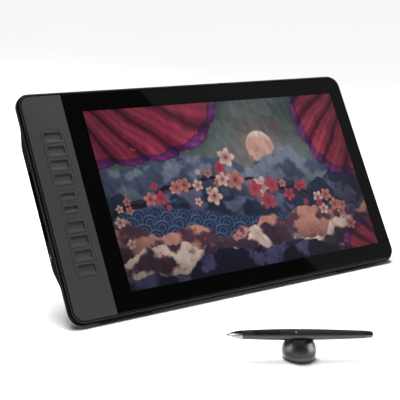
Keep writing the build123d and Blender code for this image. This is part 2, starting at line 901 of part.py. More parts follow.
def make_main_board():
    """The main board, its screws and cables, and its chips with the switch behind the power button."""
    left, right, low, high = main_board_limits()
    front, back = -main_board_front, -main_board_front - main_board_thickness
    board = rounded_block(left, right, low, high, back, front, main_boss_radius)
    width, height = right - left, high - low
    chips = []
    shares = zip(chip_size_shares, chip_rise_shares, chip_across_shares, chip_up_shares)
    for size_share, rise_share, across, up in shares:
        half, top = size_share * chip_size / 2, front + rise_share * chip_rise
        x, y = left + across * width, low + up * height
        chips.append(block(x - half, x + half, y - half, y + half, front, top))
    screws = []
    for x, y in main_boss_spots():
        board -= rod_z(x, y, back - overrun, front + overrun, board_screw_radius + slip_gap)
        head = rod_z(x, y, front, front + board_screw_head_depth, board_screw_head_radius)
        screws.append(head + rod_z(x, y, back, front, board_screw_radius))
    size = button_switch_size
    chips.append(block(
        left, left + button_switch_height, button_up - size / 2, button_up + size / 2, front,
        -button_behind_glass + button_stem_width / 2
    ))
    cables = make_cables(left, low, width, height, front)
    return {"main_board": board, "board_chips": chips, "board_screws": screws, "flat_cables": cables}


def ribbon(points, y_middle, width):
    """A flat cable whose edge follows (x, z) points, one thickness deep."""
    upper = [(x, z + cable_thickness) for x, z in points]
    section = make_face(Polyline(*points, *reversed(upper), close=True))
    return Pos(0, y_middle + width / 2, 0) * extrude(Plane.XZ * section, width)


def make_cables(left, low, width, height, front):
    """The flat cables from the main board to the screen module and to the key board, with their plugs."""
    plug_x = left + display_cable_across_share * width
    y = low + display_cable_up_share * height
    shield_back = screen_stack_back()
    plug = block(
        plug_x, plug_x + cable_plug_length, y - display_cable_width / 2, y + display_cable_width / 2,
        front, front + cable_plug_height
    )
    start = (plug_x + cable_plug_length, front + cable_plug_height / 2)
    path = (
        start,
        (start[0] + cable_plug_gap, start[1]),
        (start[0] + cable_rise, shield_back - cable_thickness),
        (start[0] + 2 * cable_rise, shield_back - cable_thickness),
    )
    display_cable = plug + ribbon(path, y, display_cable_width - 2 * cable_plug_gap)

    board_right = key_board_limits()[1]
    key_back = -panel_thickness - key_board_gap - key_board_thickness
    key_y = low + key_cable_up_share * height
    key_plug_x = board_right - cable_plug_length
    key_plug = block(
        key_plug_x, board_right, key_y - key_cable_width / 2, key_y + key_cable_width / 2,
        key_back - cable_plug_height, key_back
    )
    key_path = (
        (board_right, key_back - cable_plug_height / 2 - cable_thickness),
        (board_right + cable_plug_gap, key_back - cable_plug_height / 2 - cable_thickness),
        (board_right + cable_plug_gap + cable_rise / 2, front + cable_plug_height / 2),
        (board_right + cable_plug_gap + cable_rise, front + cable_plug_height / 2),
    )
    lower_plug = block(
        key_path[-1][0], key_path[-1][0] + cable_plug_length, key_y - key_cable_width / 2,
        key_y + key_cable_width / 2, front, front + cable_plug_height
    )
    key_cable = key_plug + lower_plug + ribbon(key_path, key_y, key_cable_width - 2 * cable_plug_gap)
    return [display_cable, key_cable]


def screen_stack_back():
    """The back of the shield plate, counted from the front of the glass."""
    return -(
        glass_ledge + cell_thickness + guide_thickness + tray_wall + digitizer_thickness + shield_thickness
    )


def make_power_button():
    """The power button in the left wall, with a tiny light in its middle."""
    inside = body_left + cover_wall
    half_length, half_width = button_length / 2, button_width / 2
    button = wall_block(
        body_left - button_proud, inside + button_flange_thickness, button_up - half_length,
        button_up + half_length, -button_behind_glass - half_width, -button_behind_glass + half_width,
        half_width - slip_gap
    )
    button += wall_block(
        inside, inside + button_flange_thickness, button_up - half_length - button_flange,
        button_up + half_length + button_flange, -button_behind_glass - half_width - button_flange / 2,
        -button_behind_glass + half_width + button_flange / 2, half_width
    )
    stem_end = main_board_left - button_switch_gap
    button += rod_x(
        inside, stem_end, button_up, -button_behind_glass, button_stem_width / 2
    )
    light = rod_x(
        body_left - button_proud, body_left - button_proud + button_light_depth, button_up,
        -button_behind_glass, button_light_radius
    )
    return {"power_button": button - light, "power_light": light}


def clip_tail(arm_low, gap):
    """The tail of a friction clip, or the slot it sits in when a gap is given."""
    hinge_y, hinge_z = stand_hinge_above_screen, -hinge_depth
    low = arm_low + stand_clip_gap
    half = stand_clip_tail / 2 + gap
    top = hinge_z + stand_barrel_radius + stand_barrel_gap + stand_clip_tail / 2
    return block(low - gap, low + stand_clip_length + gap, hinge_y - half, hinge_y + half, hinge_z, top)


def make_stand():
    """The U-shaped leg drawn folded flat, with its pins, the clips that brake them and its rubber foot."""
    hinge_y, hinge_z = stand_hinge_above_screen, -hinge_depth
    half = stand_thickness / 2
    foot_y = hinge_y - stand_length
    leg = rounded_block(
        stand_left, stand_right, foot_y, hinge_y, hinge_z - half, hinge_z + half, stand_corner
    )
    window_low = foot_y + stand_foot_bar
    leg -= rounded_block(
        stand_left + stand_arm, stand_right - stand_arm, window_low, hinge_y + body_corner,
        hinge_z - half - overrun, hinge_z + half + overrun, stand_window_corner
    )
    leg = fillet(leg.edges().group_by(Axis.Z)[0], stand_edge_round)
    leg -= block(
        stand_left - overrun, stand_right + overrun, hinge_y - stand_corner, hinge_y + overrun,
        -body_width, overrun
    )
    clips, pins = [], []
    for low, high in arm_spans():
        clip_end = low + stand_clip_gap + stand_clip_length + stand_clip_gap
        neck = block(
            clip_end, high, hinge_y - stand_corner, hinge_y, hinge_z - half, hinge_z + half
        )
        barrel = rod_x(clip_end, high, hinge_y, hinge_z, stand_barrel_radius)
        leg += neck + barrel
        bore = rod_x(low - overrun, high + overrun, hinge_y, hinge_z, stand_pin_radius + slip_gap / 5)
        leg -= bore
        pins.append(rod_x(low - hinge_reach, high + hinge_reach, hinge_y, hinge_z, stand_pin_radius))
        clip_low = low + stand_clip_gap
        clip = rod_x(
            clip_low, clip_low + stand_clip_length, hinge_y, hinge_z, stand_pin_radius + stand_clip_wall
        )
        clip += clip_tail(low, 0)
        clip -= rod_x(
            clip_low - overrun, clip_low + stand_clip_length + overrun, hinge_y, hinge_z,
            stand_pin_radius + slip_gap
        )
        clips.append(clip)
    rib_low, rib_high = window_low - stand_foot_bar / 4, hinge_y - 2 * stand_corner
    for low, high in arm_spans():
        for place in (low + stand_arm / 4, high - stand_arm / 4):
            leg -= block(
                place - stand_rib_width / 2, place + stand_rib_width / 2, rib_low, rib_high,
                hinge_z + half - stand_rib_height, hinge_z + half + overrun
            )
    pad_left, pad_right = middle_x - stand_pad_length / 2, middle_x + stand_pad_length / 2
    pad = rod_x(pad_left, pad_right, foot_y, hinge_z, stand_pad_radius)
    pad = fillet(pad.edges(), stand_edge_round)
    pad -= block(stand_left, stand_right, foot_y, hinge_y, -body_width, overrun)
    tongue = block(
        pad_left + stand_pad_grip, pad_right - stand_pad_grip,
        foot_y - stand_pad_grip, foot_y + overrun, hinge_z - half / 2, hinge_z + half / 2
    )
    leg += tongue
    pad -= tongue
    return leg, pins, clips, pad


def opened(solid):
    """Turns a piece of the leg about its hinge from folded flat to standing, its foot on the floor."""
    hinge = Pos(0, stand_hinge_above_screen, -hinge_depth)
    return hinge * Rot(180 - stand_slope_angle - lean_angle, 0, 0) * hinge.inverse() * solid


def pen_outline(extra):
    """The pen's outer half outline from the nose to the end, made larger by extra all round."""
    shift = pen_length / 2
    stations = []
    for along, swell in grip_swell_shares:
        x = nose_end + along * (grip_end - nose_end) - shift
        stations.append((x, nose_radius + swell * (pen_radius - nose_radius) + extra))
    for along, taper in barrel_taper_shares:
        x = grip_end + along * (cap_start - grip_end) - shift
        stations.append((x, pen_radius - taper * (pen_radius - pen_cap_radius) + extra))
    nose_start = nib_shows - shift
    nose_middle = (nose_start + nose_end - shift) / 2
    nose_bulged = (nose_tip_radius + nose_radius) / 2 + nose_bulge
    nose = ThreePointArc(
        (nose_start, nose_tip_radius + extra), (nose_middle, nose_bulged + extra),
        (nose_end - shift, nose_radius + extra)
    )
    body = Spline(*stations)
    end = shift - pen_end_round
    cap = Line(stations[-1], (end, pen_end_radius + extra))
    round_middle = sqrt(pen_end_round ** 2 / 2)
    crown_radius = pen_end_radius + extra - pen_end_round
    corner = ThreePointArc(
        (end, pen_end_radius + extra), (end + round_middle, crown_radius + round_middle),
        (shift, crown_radius)
    )
    tip = (nose_start, nose_tip_radius + extra)
    closing = Polyline((shift, crown_radius), (shift, 0), (nose_start, 0), tip)
    return make_face([nose, body, cap, corner, closing])


def between(start, end):
    """A block across the pen from start to end, both counted from the tip."""
    shift, reach = pen_length / 2, ball_radius
    return block(start - shift, end - shift, -reach, reach, -reach, reach)


def pen_rod(start, end, radius):
    """A round bar on the pen's axis, from start to end counted from the tip."""
    shift = pen_length / 2
    return rod_x(start - shift, end - shift, 0, 0, radius)


def seam_ring(start, radius):
    """The shallow groove round the pen where two of its shells meet."""
    ring = pen_rod(start, start + pen_seam, 2 * radius)
    return ring - pen_rod(start - overrun, start + overrun, radius - pen_seam_depth)


def pen_button_block(place, grow, low, high):
    """A rounded block on the button side of the pen, between two distances from the axis, wider by grow."""
    start = pen_button_start + place * pen_button_pitch - pen_length / 2
    end = start + pen_button_length
    half = pen_button_width / 2 + grow
    return rounded_block(start - grow, end + grow, -half, half, low, high, pen_button_corner + grow)


def make_pen():
    """The pen: nib, nose, grip with two buttons, barrel, end cap and what is inside it."""
    whole = revolve(pen_outline(0), Axis.X)
    proud = revolve(pen_outline(pen_button_proud), Axis.X)
    parts = {}
    nose = whole & between(0, nose_end)
    nose -= pen_rod(0, nose_end, nib_radius + slip_gap)
    inner_nose = turned((
        (nib_shows + 2 * pen_wall - pen_length / 2, 0),
        (nib_shows + 2 * pen_wall - pen_length / 2, nib_radius + slip_gap),
        (nose_end - pen_length / 2, nose_radius - pen_wall),
        (nose_end - pen_length / 2 + overrun, nose_radius - pen_wall),
        (nose_end - pen_length / 2 + overrun, 0),
    ))
    parts["pen_nose"] = nose - inner_nose

    grip = whole & between(nose_end, grip_end)
    grip -= pen_rod(nose_end - overrun, sensor_end + overrun, pen_front_bore)
    grip -= pen_rod(sensor_end, grip_end + overrun, pen_rear_bore)
    barrel = whole & between(grip_end, cap_start)
    barrel -= seam_ring(grip_end, pen_radius)
    barrel += pen_rod(grip_end - pen_spigot_length, grip_end + overrun, pen_rear_bore - slip_gap)
    barrel -= pen_rod(0, battery_end, pen_rear_bore - pen_spigot_wall)
    barrel -= pen_rod(battery_start - pen_spigot_wall, battery_end, pen_rear_bore)
    barrel -= pen_rod(grip_end, cap_start + overrun, pen_cap_spigot_radius)
    cap = whole & between(cap_start, pen_length + overrun)
    cap -= seam_ring(cap_start, pen_cap_radius)
    cap += pen_rod(cap_start - pen_cap_spigot_length, cap_start + overrun, pen_cap_spigot_radius - slip_gap)

    light_side = rod_z(0, 0, pen_radius - pen_light_depth, ball_radius, pen_light_radius)
    light_side = Pos(pen_light_at - pen_length / 2, 0, 0) * Rot(0, 0, 90) * light_side
    parts["pen_light"] = light_side & whole
    barrel -= light_side
    for place in range(pen_button_count):
        grip -= pen_button_block(place, pen_button_gap, 0, ball_radius)
        button = proud & pen_button_block(place, 0, pen_button_seat, ball_radius)
        parts[f"pen_button_{place + 1}"] = button
    parts["pen_grip"] = grip
    parts["pen_barrel"] = barrel
    parts["pen_end_cap"] = cap

    nib = pen_rod(0, nib_length, nib_radius)
    nib = fillet(nib.edges().group_by(Axis.X)[0], nib_radius - slip_gap)
    parts["nib"] = nib
    parts["nib_plunger"] = pen_rod(nib_length, plunger_end, nib_radius)
    coil = pen_rod(coil_start, coil_end, coil_radius + fit_gap)
    parts["pen_coil"] = coil - pen_rod(coil_start - overrun, coil_end + overrun, nib_radius + slip_gap)
    parts["pressure_sensor"] = pen_rod(sensor_start, sensor_end, pen_front_bore - slip_gap)
    switch_top = pen_button_seat - pen_switch_gap
    shift = pen_length / 2
    board_top = sqrt(pen_rear_bore ** 2 - (pen_board_width / 2) ** 2) - pen_board_thickness
    board_top -= pen_spigot_wall
    board = block(
        pen_board_start - shift, pen_board_end - shift, -pen_board_width / 2, pen_board_width / 2,
        -board_top - pen_board_thickness, -board_top
    )
    for place in range(pen_button_count):
        middle = pen_button_start + place * pen_button_pitch + pen_button_length / 2
        middle = max(middle, pen_board_start + 2 * pen_switch_radius) - shift
        board += rod_z(middle, 0, -board_top, switch_top, pen_switch_radius)
    parts["pen_board"] = board
    parts["pen_battery"] = pen_rod(battery_start, battery_end, battery_radius + fit_gap)
    return parts


def make_holder(pen_envelope):
    """The pen holder: a ball in two shells that twist apart, with spare nibs inside and a hollow on top."""
    ball = Pos(0, 0, ball_centre_height) * Sphere(ball_radius)
    reach = 2 * ball_radius
    base = ball & block(-reach, reach, -reach, reach, holder_foot_shows, holder_seam_height)
    foot = rod_z(0, 0, 0, holder_foot_thickness, holder_foot_radius)
    foot = chamfer(foot.edges().group_by(Axis.Z)[0], slip_gap)
    base -= rod_z(0, 0, -overrun, holder_foot_thickness, holder_foot_radius + slip_gap)
    floor_top = holder_foot_thickness + holder_base_floor
    spigot_inner = holder_spigot_radius - holder_spigot_wall
    base += rod_z(0, 0, floor_top, holder_seam_height + holder_spigot_rise, holder_spigot_radius)
    base -= rod_z(0, 0, floor_top, ball_radius, spigot_inner)

    dome = ball & block(-reach, reach, -reach, reach, holder_seam_height, holder_height)
    inner_ball = Pos(0, 0, ball_centre_height) * Sphere(ball_radius - holder_wall)
    bowl_ball = (bowl_radius ** 2 + bowl_depth ** 2) / (2 * bowl_depth)
    bowl_centre = holder_height - bowl_depth + bowl_ball
    bowl = Pos(0, 0, bowl_centre) * Sphere(bowl_ball)
    bowl_skin = Pos(0, 0, bowl_centre) * Sphere(bowl_ball + bowl_wall)
    hollow = inner_ball - bowl_skin
    hollow &= block(-reach, reach, -reach, reach, holder_seam_height - overrun, holder_height - bowl_wall)
    dome -= hollow
    dome -= rod_z(0, 0, 0, holder_seam_height + holder_spigot_rise + part_gap, holder_spigot_radius + fit_gap)
    dome -= bowl
    dome = fillet(dome.edges().group_by(Axis.Z)[-1], bowl_edge_round)
    seam = rod_z(0, 0, holder_seam_height, holder_seam_height + holder_seam, reach)
    seam -= rod_z(0, 0, 0, holder_height, ball_radius - holder_seam)
    dome -= seam
    dome -= pen_envelope

    block_top = floor_top + nib_block_height
    nib_block = rod_z(0, 0, floor_top, block_top, nib_block_radius)
    nibs = []
    for place in range(spare_nib_count):
        spot = Rot(0, 0, place * 360 / spare_nib_count) * Pos(nib_circle_radius, 0, 0)
        bottom = block_top - spare_nib_sunk
        nib_block -= spot * rod_z(0, 0, bottom, block_top + overrun, nib_radius + slip_gap)
        nib = rod_z(0, 0, bottom, bottom + nib_length - part_gap, nib_radius)
        nibs.append(spot * fillet(nib.edges().group_by(Axis.Z)[-1], nib_radius - slip_gap))
    puller = Pos(0, 0, block_top + puller_wire) * Torus(puller_radius, puller_wire)
    puller -= block(0, reach, -puller_wire, puller_wire, block_top, block_top + reach)
    return {
        "holder_dome": dome, "holder_base": base, "holder_foot": foot, "nib_block": nib_block,
        "spare_nibs": nibs, "nib_puller": puller,
    }


def pen_axis_height():
    """How high the pen's axis lies over the floor when the pen rests in the holder's notches."""
    return holder_height - notch_depth + pen_radius


def make_pen_set():
    """The holder with the pen lying across it, its middle over the floor at zero."""
    axis = Pos(0, 0, pen_axis_height())
    envelope = axis * revolve(pen_outline(part_gap), Axis.X)
    holder = make_holder(envelope)
    pen = {name: axis * Rot(pen_button_turn, 0, 0) * solid for name, solid in make_pen().items()}
    return holder, pen


def case_screw(x, y):
    """One screw from the rear cover into the frame."""
    head_top = -rim_depth + case_screw_head_depth
    head = rod_z(x, y, -rim_depth, head_top, case_screw_head_radius)
    head -= rod_z(x, y, -rim_depth - overrun, -rim_depth + case_screw_head_depth / 2, case_screw_radius)
    return head + rod_z(x, y, head_top, head_top + case_screw_length, case_screw_radius)


def arm_insert(x, y):
    """One brass insert, flush with the belly."""
    insert = rod_z(x, y, -belly_depth, -belly_depth + arm_insert_length, arm_insert_radius)
    return insert - rod_z(x, y, -belly_depth - overrun, 0, arm_hole_radius)


def make_tablet():
    """Every piece of the tablet in its own frame, the leg opened."""
    parts = {"rear_cover": make_rear_cover(), "front_frame": make_front_frame()}
    parts.update(make_face_parts())
    parts.update(make_keys())
    parts.update(make_key_board())
    parts.update(make_screen_module())
    key_screws = parts["board_screws"]
    parts.update(make_main_board())
    parts["board_screws"] += key_screws
    parts.update(make_sockets())
    parts.update(make_power_button())
    parts["case_screws"] = [case_screw(x, y) for x, y in case_screw_spots()]
    parts["arm_inserts"] = [arm_insert(x, y) for x, y in arm_hole_spots()]
    parts["rear_feet"] = make_rear_feet()
    parts["heel_pads"] = make_heel_pads()
    leg, pins, clips, pad = make_stand()
    parts["stand_leg"] = opened(leg)
    parts["hinge_pins"] = [opened(pin) for pin in pins]
    parts["stand_pad"] = opened(pad) - floor_cut()
    parts["friction_clips"] = clips
    return parts


def heel_line():
    """How far behind the screen's middle the heel pads meet the floor, in the placed frame."""
    lean = radians(lean_angle)
    return (body_bottom + rear_edge_round) * cos(lean) + (rim_depth - rear_edge_round) * sin(lean)


def grouped(solid):
    """One shape for a node, whether it is one solid or several."""
    return Compound(children=list(solid)) if isinstance(solid, list) else solid


lean = Pos(0, 0, -floor_level) * Rot(lean_angle, 0, 0)
holder_spot = Pos(-holder_left_of_screen, heel_line() - holder_ahead_of_heel, 0) * Rot(0, 0, pen_turn)
tablet = {name: lean * grouped(solid) for name, solid in make_tablet().items()}
holder, pen = make_pen_set()
loose = {name: holder_spot * grouped(solid) for name, solid in {**holder, **pen}.items()}
everything = {**tablet, **loose}

# The origin is on the floor under the middle of the whole set
boxes = [shape.bounding_box() for shape in everything.values()]
x_low, x_high = min(box.min.X for box in boxes), max(box.max.X for box in boxes)
y_low, y_high = min(box.min.Y for box in boxes), max(box.max.Y for box in boxes)
home = Pos(-(x_low + x_high) / 2, -(y_low + y_high) / 2, 0)

for name, shape in everything.items():
    export_step(home * shape, f"parts/{name}.step")
print("pieces", len(everything), "stand length", round(stand_length, 2))
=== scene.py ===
import json
import math
import bpy
import numpy as np
from mathutils import Matrix, Vector


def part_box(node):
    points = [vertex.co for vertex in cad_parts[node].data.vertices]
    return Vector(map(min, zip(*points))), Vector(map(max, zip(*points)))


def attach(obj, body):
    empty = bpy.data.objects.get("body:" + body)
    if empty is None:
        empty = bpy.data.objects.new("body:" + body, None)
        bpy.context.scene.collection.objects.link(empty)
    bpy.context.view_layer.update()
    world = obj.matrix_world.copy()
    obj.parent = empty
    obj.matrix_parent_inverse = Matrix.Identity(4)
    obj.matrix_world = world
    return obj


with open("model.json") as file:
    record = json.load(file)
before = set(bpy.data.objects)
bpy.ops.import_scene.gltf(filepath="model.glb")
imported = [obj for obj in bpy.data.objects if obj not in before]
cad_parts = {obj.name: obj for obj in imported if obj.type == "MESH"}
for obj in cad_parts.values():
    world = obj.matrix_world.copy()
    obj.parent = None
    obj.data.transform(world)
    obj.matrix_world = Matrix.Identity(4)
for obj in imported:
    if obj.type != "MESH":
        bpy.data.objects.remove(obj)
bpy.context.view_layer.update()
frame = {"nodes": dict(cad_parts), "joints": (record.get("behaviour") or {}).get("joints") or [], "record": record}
nodes = frame["nodes"]
mm = 0.001
print("frame loaded:", len(nodes), "nodes")

# Where things are. The tablet's own axes: right, up the screen, and out of the glass; zero is the
# middle of the screen on the front of the glass. The cell behind the glass is centred on it.
joints = {joint["name"]: joint for joint in frame["joints"]}
intoGlass = np.array(joints["express_key_1_press"]["axis"])
screenRight = np.array([1.0, 0.0, 0.0])
outOfGlass = -intoGlass
upScreen = np.cross(outOfGlass, screenRight)
screen = {"width": 344.2 * mm, "height": 193.6 * mm, "cellMiddleBehindGlass": 2.0 * mm}
cellLow, cellHigh = (np.array(corner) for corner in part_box("screen_cell"))
screenMiddle = (cellLow + cellHigh) / 2 + outOfGlass * screen["cellMiddleBehindGlass"]


# A point of the tablet given as x right, y up the screen and z out of the glass, all arrays or numbers
def onTablet(x, y, z):
    x, y, z = np.broadcast_arrays(x, y, z)
    return (screenMiddle + x[..., None] * screenRight + y[..., None] * upScreen
            + z[..., None] * outOfGlass)


# Camera, as fitted to the photograph: place and axes in the part's own frame
camera = {
    "place": (-0.62796, -0.74982, 0.40041),
    "right": (0.81518, -0.57495, 0.07016),
    "up": (0.1163, 0.28113, 0.9526),
    "view": (0.56741, 0.76838, -0.29604),
    "lens": 87.39, "sensor": 36.0, "clipEnd": 60.0,
}


def makeCamera():
    data = bpy.data.cameras.new("camera")
    data.lens = camera["lens"]
    data.sensor_width = camera["sensor"]
    data.clip_end = camera["clipEnd"]
    obj = bpy.data.objects.new("camera", data)
    bpy.context.scene.collection.objects.link(obj)
    axes = Matrix((camera["right"], camera["up"], [-c for c in camera["view"]])).transposed()
    obj.matrix_world = Matrix.Translation(camera["place"]) @ axes.to_4x4()
    bpy.context.scene.camera = obj


makeCamera()
print("camera set")


# Node helpers
def newMaterial(name, color, roughness, metallic=0.0, specular=0.5, ior=1.5, coat=0.0, coatRoughness=0.1):
    material = bpy.data.materials.new(name)
    material.use_nodes = True
    tree = material.node_tree
    shader = tree.nodes["Principled BSDF"]
    shader.inputs["Base Color"].default_value = (*color, 1)
    shader.inputs["Roughness"].default_value = roughness
    shader.inputs["Metallic"].default_value = metallic
    shader.inputs["Specular IOR Level"].default_value = specular
    shader.inputs["IOR"].default_value = ior
    shader.inputs["Coat Weight"].default_value = coat
    shader.inputs["Coat Roughness"].default_value = coatRoughness
    material.diffuse_color = (*color, 1)
    return material, tree, shader


def noiseTexture(tree, scale, detail=3.0, roughness=0.55, stretch=(1, 1, 1), turn=(0, 0, 0)):
    coords = tree.nodes.new("ShaderNodeTexCoord")
    mapping = tree.nodes.new("ShaderNodeMapping")
    mapping.inputs["Scale"].default_value = stretch
    mapping.inputs["Rotation"].default_value = turn
    tree.links.new(coords.outputs["Object"], mapping.inputs["Vector"])
    noise = tree.nodes.new("ShaderNodeTexNoise")
    noise.inputs["Scale"].default_value = scale
    noise.inputs["Detail"].default_value = detail
    noise.inputs["Roughness"].default_value = roughness
    tree.links.new(mapping.outputs["Vector"], noise.inputs["Vector"])
    return noise.outputs["Fac"]


# Spreads value from its own range, by default the middle of a noise, to low..high
def ranged(tree, value, low, high, fromLow=0.3, fromHigh=0.7):
    node = tree.nodes.new("ShaderNodeMapRange")
    node.inputs["From Min"].default_value = fromLow
    node.inputs["From Max"].default_value = fromHigh
    node.inputs["To Min"].default_value = low
    node.inputs["To Max"].default_value = high
    tree.links.new(value, node.inputs["Value"])
    return node.outputs["Result"]


# The colour sockets of a mix node, by number because its other kinds have the same names
mixSockets = {"first": 6, "second": 7, "result": 2}


def mixed(tree, value, first, second):
    node = tree.nodes.new("ShaderNodeMix")
    node.data_type = "RGBA"
    node.inputs[mixSockets["first"]].default_value = (*first, 1)
    node.inputs[mixSockets["second"]].default_value = (*second, 1)
    tree.links.new(value, node.inputs["Factor"])
    return node.outputs[mixSockets["result"]]


def bumped(tree, shader, value, strength, distance):
    node = tree.nodes.new("ShaderNodeBump")
    node.inputs["Strength"].default_value = strength
    node.inputs["Distance"].default_value = distance
    tree.links.new(value, node.inputs["Height"])
    tree.links.new(node.outputs["Normal"], shader.inputs["Normal"])


def scaled(color, factor):
    return tuple(c * factor for c in color)


# Moulded plastic: fine grain in the bump, a slow cloud in the tone, and a sheen that changes by place
plastic = {
    "cloudScale": 38.0, "cloudDetail": 4.0, "patchScale": 90.0, "patchDetail": 5.0, "patchRoughness": 0.6,
    "grainDetail": 2.0, "bump": 0.35,
}


def mouldedPlastic(name, color, roughness, grain=2400.0, depth=0.00002, tone=0.12, sheen=0.07, **more):
    material, tree, shader = newMaterial(name, color, roughness, **more)
    cloud = ranged(tree, noiseTexture(tree, plastic["cloudScale"], plastic["cloudDetail"]), 0, 1)
    shade = mixed(tree, cloud, scaled(color, 1 - tone), scaled(color, 1 + tone))
    tree.links.new(shade, shader.inputs["Base Color"])
    patch = noiseTexture(tree, plastic["patchScale"], plastic["patchDetail"], plastic["patchRoughness"])
    gloss = ranged(tree, patch, roughness - sheen, roughness + sheen)
    tree.links.new(gloss, shader.inputs["Roughness"])
    bumped(tree, shader, noiseTexture(tree, grain, plastic["grainDetail"]), plastic["bump"], depth)
    return material


# Metal: long fine lines along one direction, with a slow change of gloss
metal = {
    "lineScale": 90.0, "lineDetail": 5.0, "lineRoughness": 0.65, "glossy": 0.75, "dull": 1.35,
    "shade": 0.86, "bump": 0.2, "depth": 0.00001,
}


def drawnMetal(name, color, roughness, stretch=(1, 40, 40)):
    material, tree, shader = newMaterial(name, color, roughness, metallic=1.0)
    lines = noiseTexture(tree, metal["lineScale"], metal["lineDetail"], metal["lineRoughness"], stretch)
    gloss = ranged(tree, lines, roughness * metal["glossy"], roughness * metal["dull"])
    tree.links.new(gloss, shader.inputs["Roughness"])
    shade = mixed(tree, ranged(tree, lines, 0, 1), scaled(color, metal["shade"]), color)
    tree.links.new(shade, shader.inputs["Base Color"])
    bumped(tree, shader, lines, metal["bump"], metal["depth"])
    return material


# Rubber: matt, with a coarse grain and patches of dust
rubber = {
    "grainScale": 1500.0, "grainDetail": 3.0, "dustScale": 70.0, "dustDetail": 5.0, "dustRoughness": 0.65,
    "dustFrom": 0.45, "dustTo": 0.75, "dustMost": 0.7, "dustGain": 1.6, "dustTone": 0.006,
    "glossy": 0.06, "dull": 0.08, "bump": 0.4, "depth": 0.00004,
}


def softRubber(name, color, roughness=0.78):
    material, tree, shader = newMaterial(name, color, roughness)
    grain = noiseTexture(tree, rubber["grainScale"], rubber["grainDetail"])
    dust = noiseTexture(tree, rubber["dustScale"], rubber["dustDetail"], rubber["dustRoughness"])
    dust = ranged(tree, dust, 0, rubber["dustMost"], rubber["dustFrom"], rubber["dustTo"])
    dusty = tuple(c * rubber["dustGain"] + rubber["dustTone"] for c in color)
    tree.links.new(mixed(tree, dust, color, dusty), shader.inputs["Base Color"])
    gloss = ranged(tree, grain, roughness - rubber["glossy"], roughness + rubber["dull"])
    tree.links.new(gloss, shader.inputs["Roughness"])
    bumped(tree, shader, grain, rubber["bump"], rubber["depth"])
    return material


# Circuit board: lacquer with a maze of slightly paler copper runs under it
lacquer = {
    "roughness": 0.32, "coat": 0.4, "shade": 0.8, "copper": 1.9, "runScale": 160.0, "runWidth": 0.035,
    "bump": 0.3, "depth": 0.00003,
}


def boardLacquer(name, color):
    material, tree, shader = newMaterial(name, color, lacquer["roughness"], coat=lacquer["coat"])
    coords = tree.nodes.new("ShaderNodeTexCoord")
    bricks = tree.nodes.new("ShaderNodeTexBrick")
    bricks.inputs["Color1"].default_value = (*color, 1)
    bricks.inputs["Color2"].default_value = (*scaled(color, lacquer["shade"]), 1)
    bricks.inputs["Mortar"].default_value = (*scaled(color, lacquer["copper"]), 1)
    bricks.inputs["Scale"].default_value = lacquer["runScale"]
    bricks.inputs["Mortar Size"].default_value = lacquer["runWidth"]
    tree.links.new(coords.outputs["Object"], bricks.inputs["Vector"])
    tree.links.new(bricks.outputs["Color"], shader.inputs["Base Color"])
    bumped(tree, shader, bricks.outputs["Fac"], lacquer["bump"], lacquer["depth"])
    return material


# Polished glass with faint finger marks where the gloss is duller
smear = {
    "scale": 24.0, "detail": 6.0, "roughness": 0.62, "stretch": (1, 2.2, 1), "turn": (0.3, 0.2, 0.5),
    "glossy": 0.02, "dull": 0.08, "from": 0.42, "to": 0.8, "clean": 0.05,
}


def polishedGlass(name, color):
    material, tree, shader = newMaterial(name, color, smear["clean"])
    marks = noiseTexture(tree, smear["scale"], smear["detail"], smear["roughness"], smear["stretch"],
                         smear["turn"])
    gloss = ranged(tree, marks, smear["glossy"], smear["dull"], smear["from"], smear["to"])
    tree.links.new(gloss, shader.inputs["Roughness"])
    return material, tree, shader


print("material recipes ready")

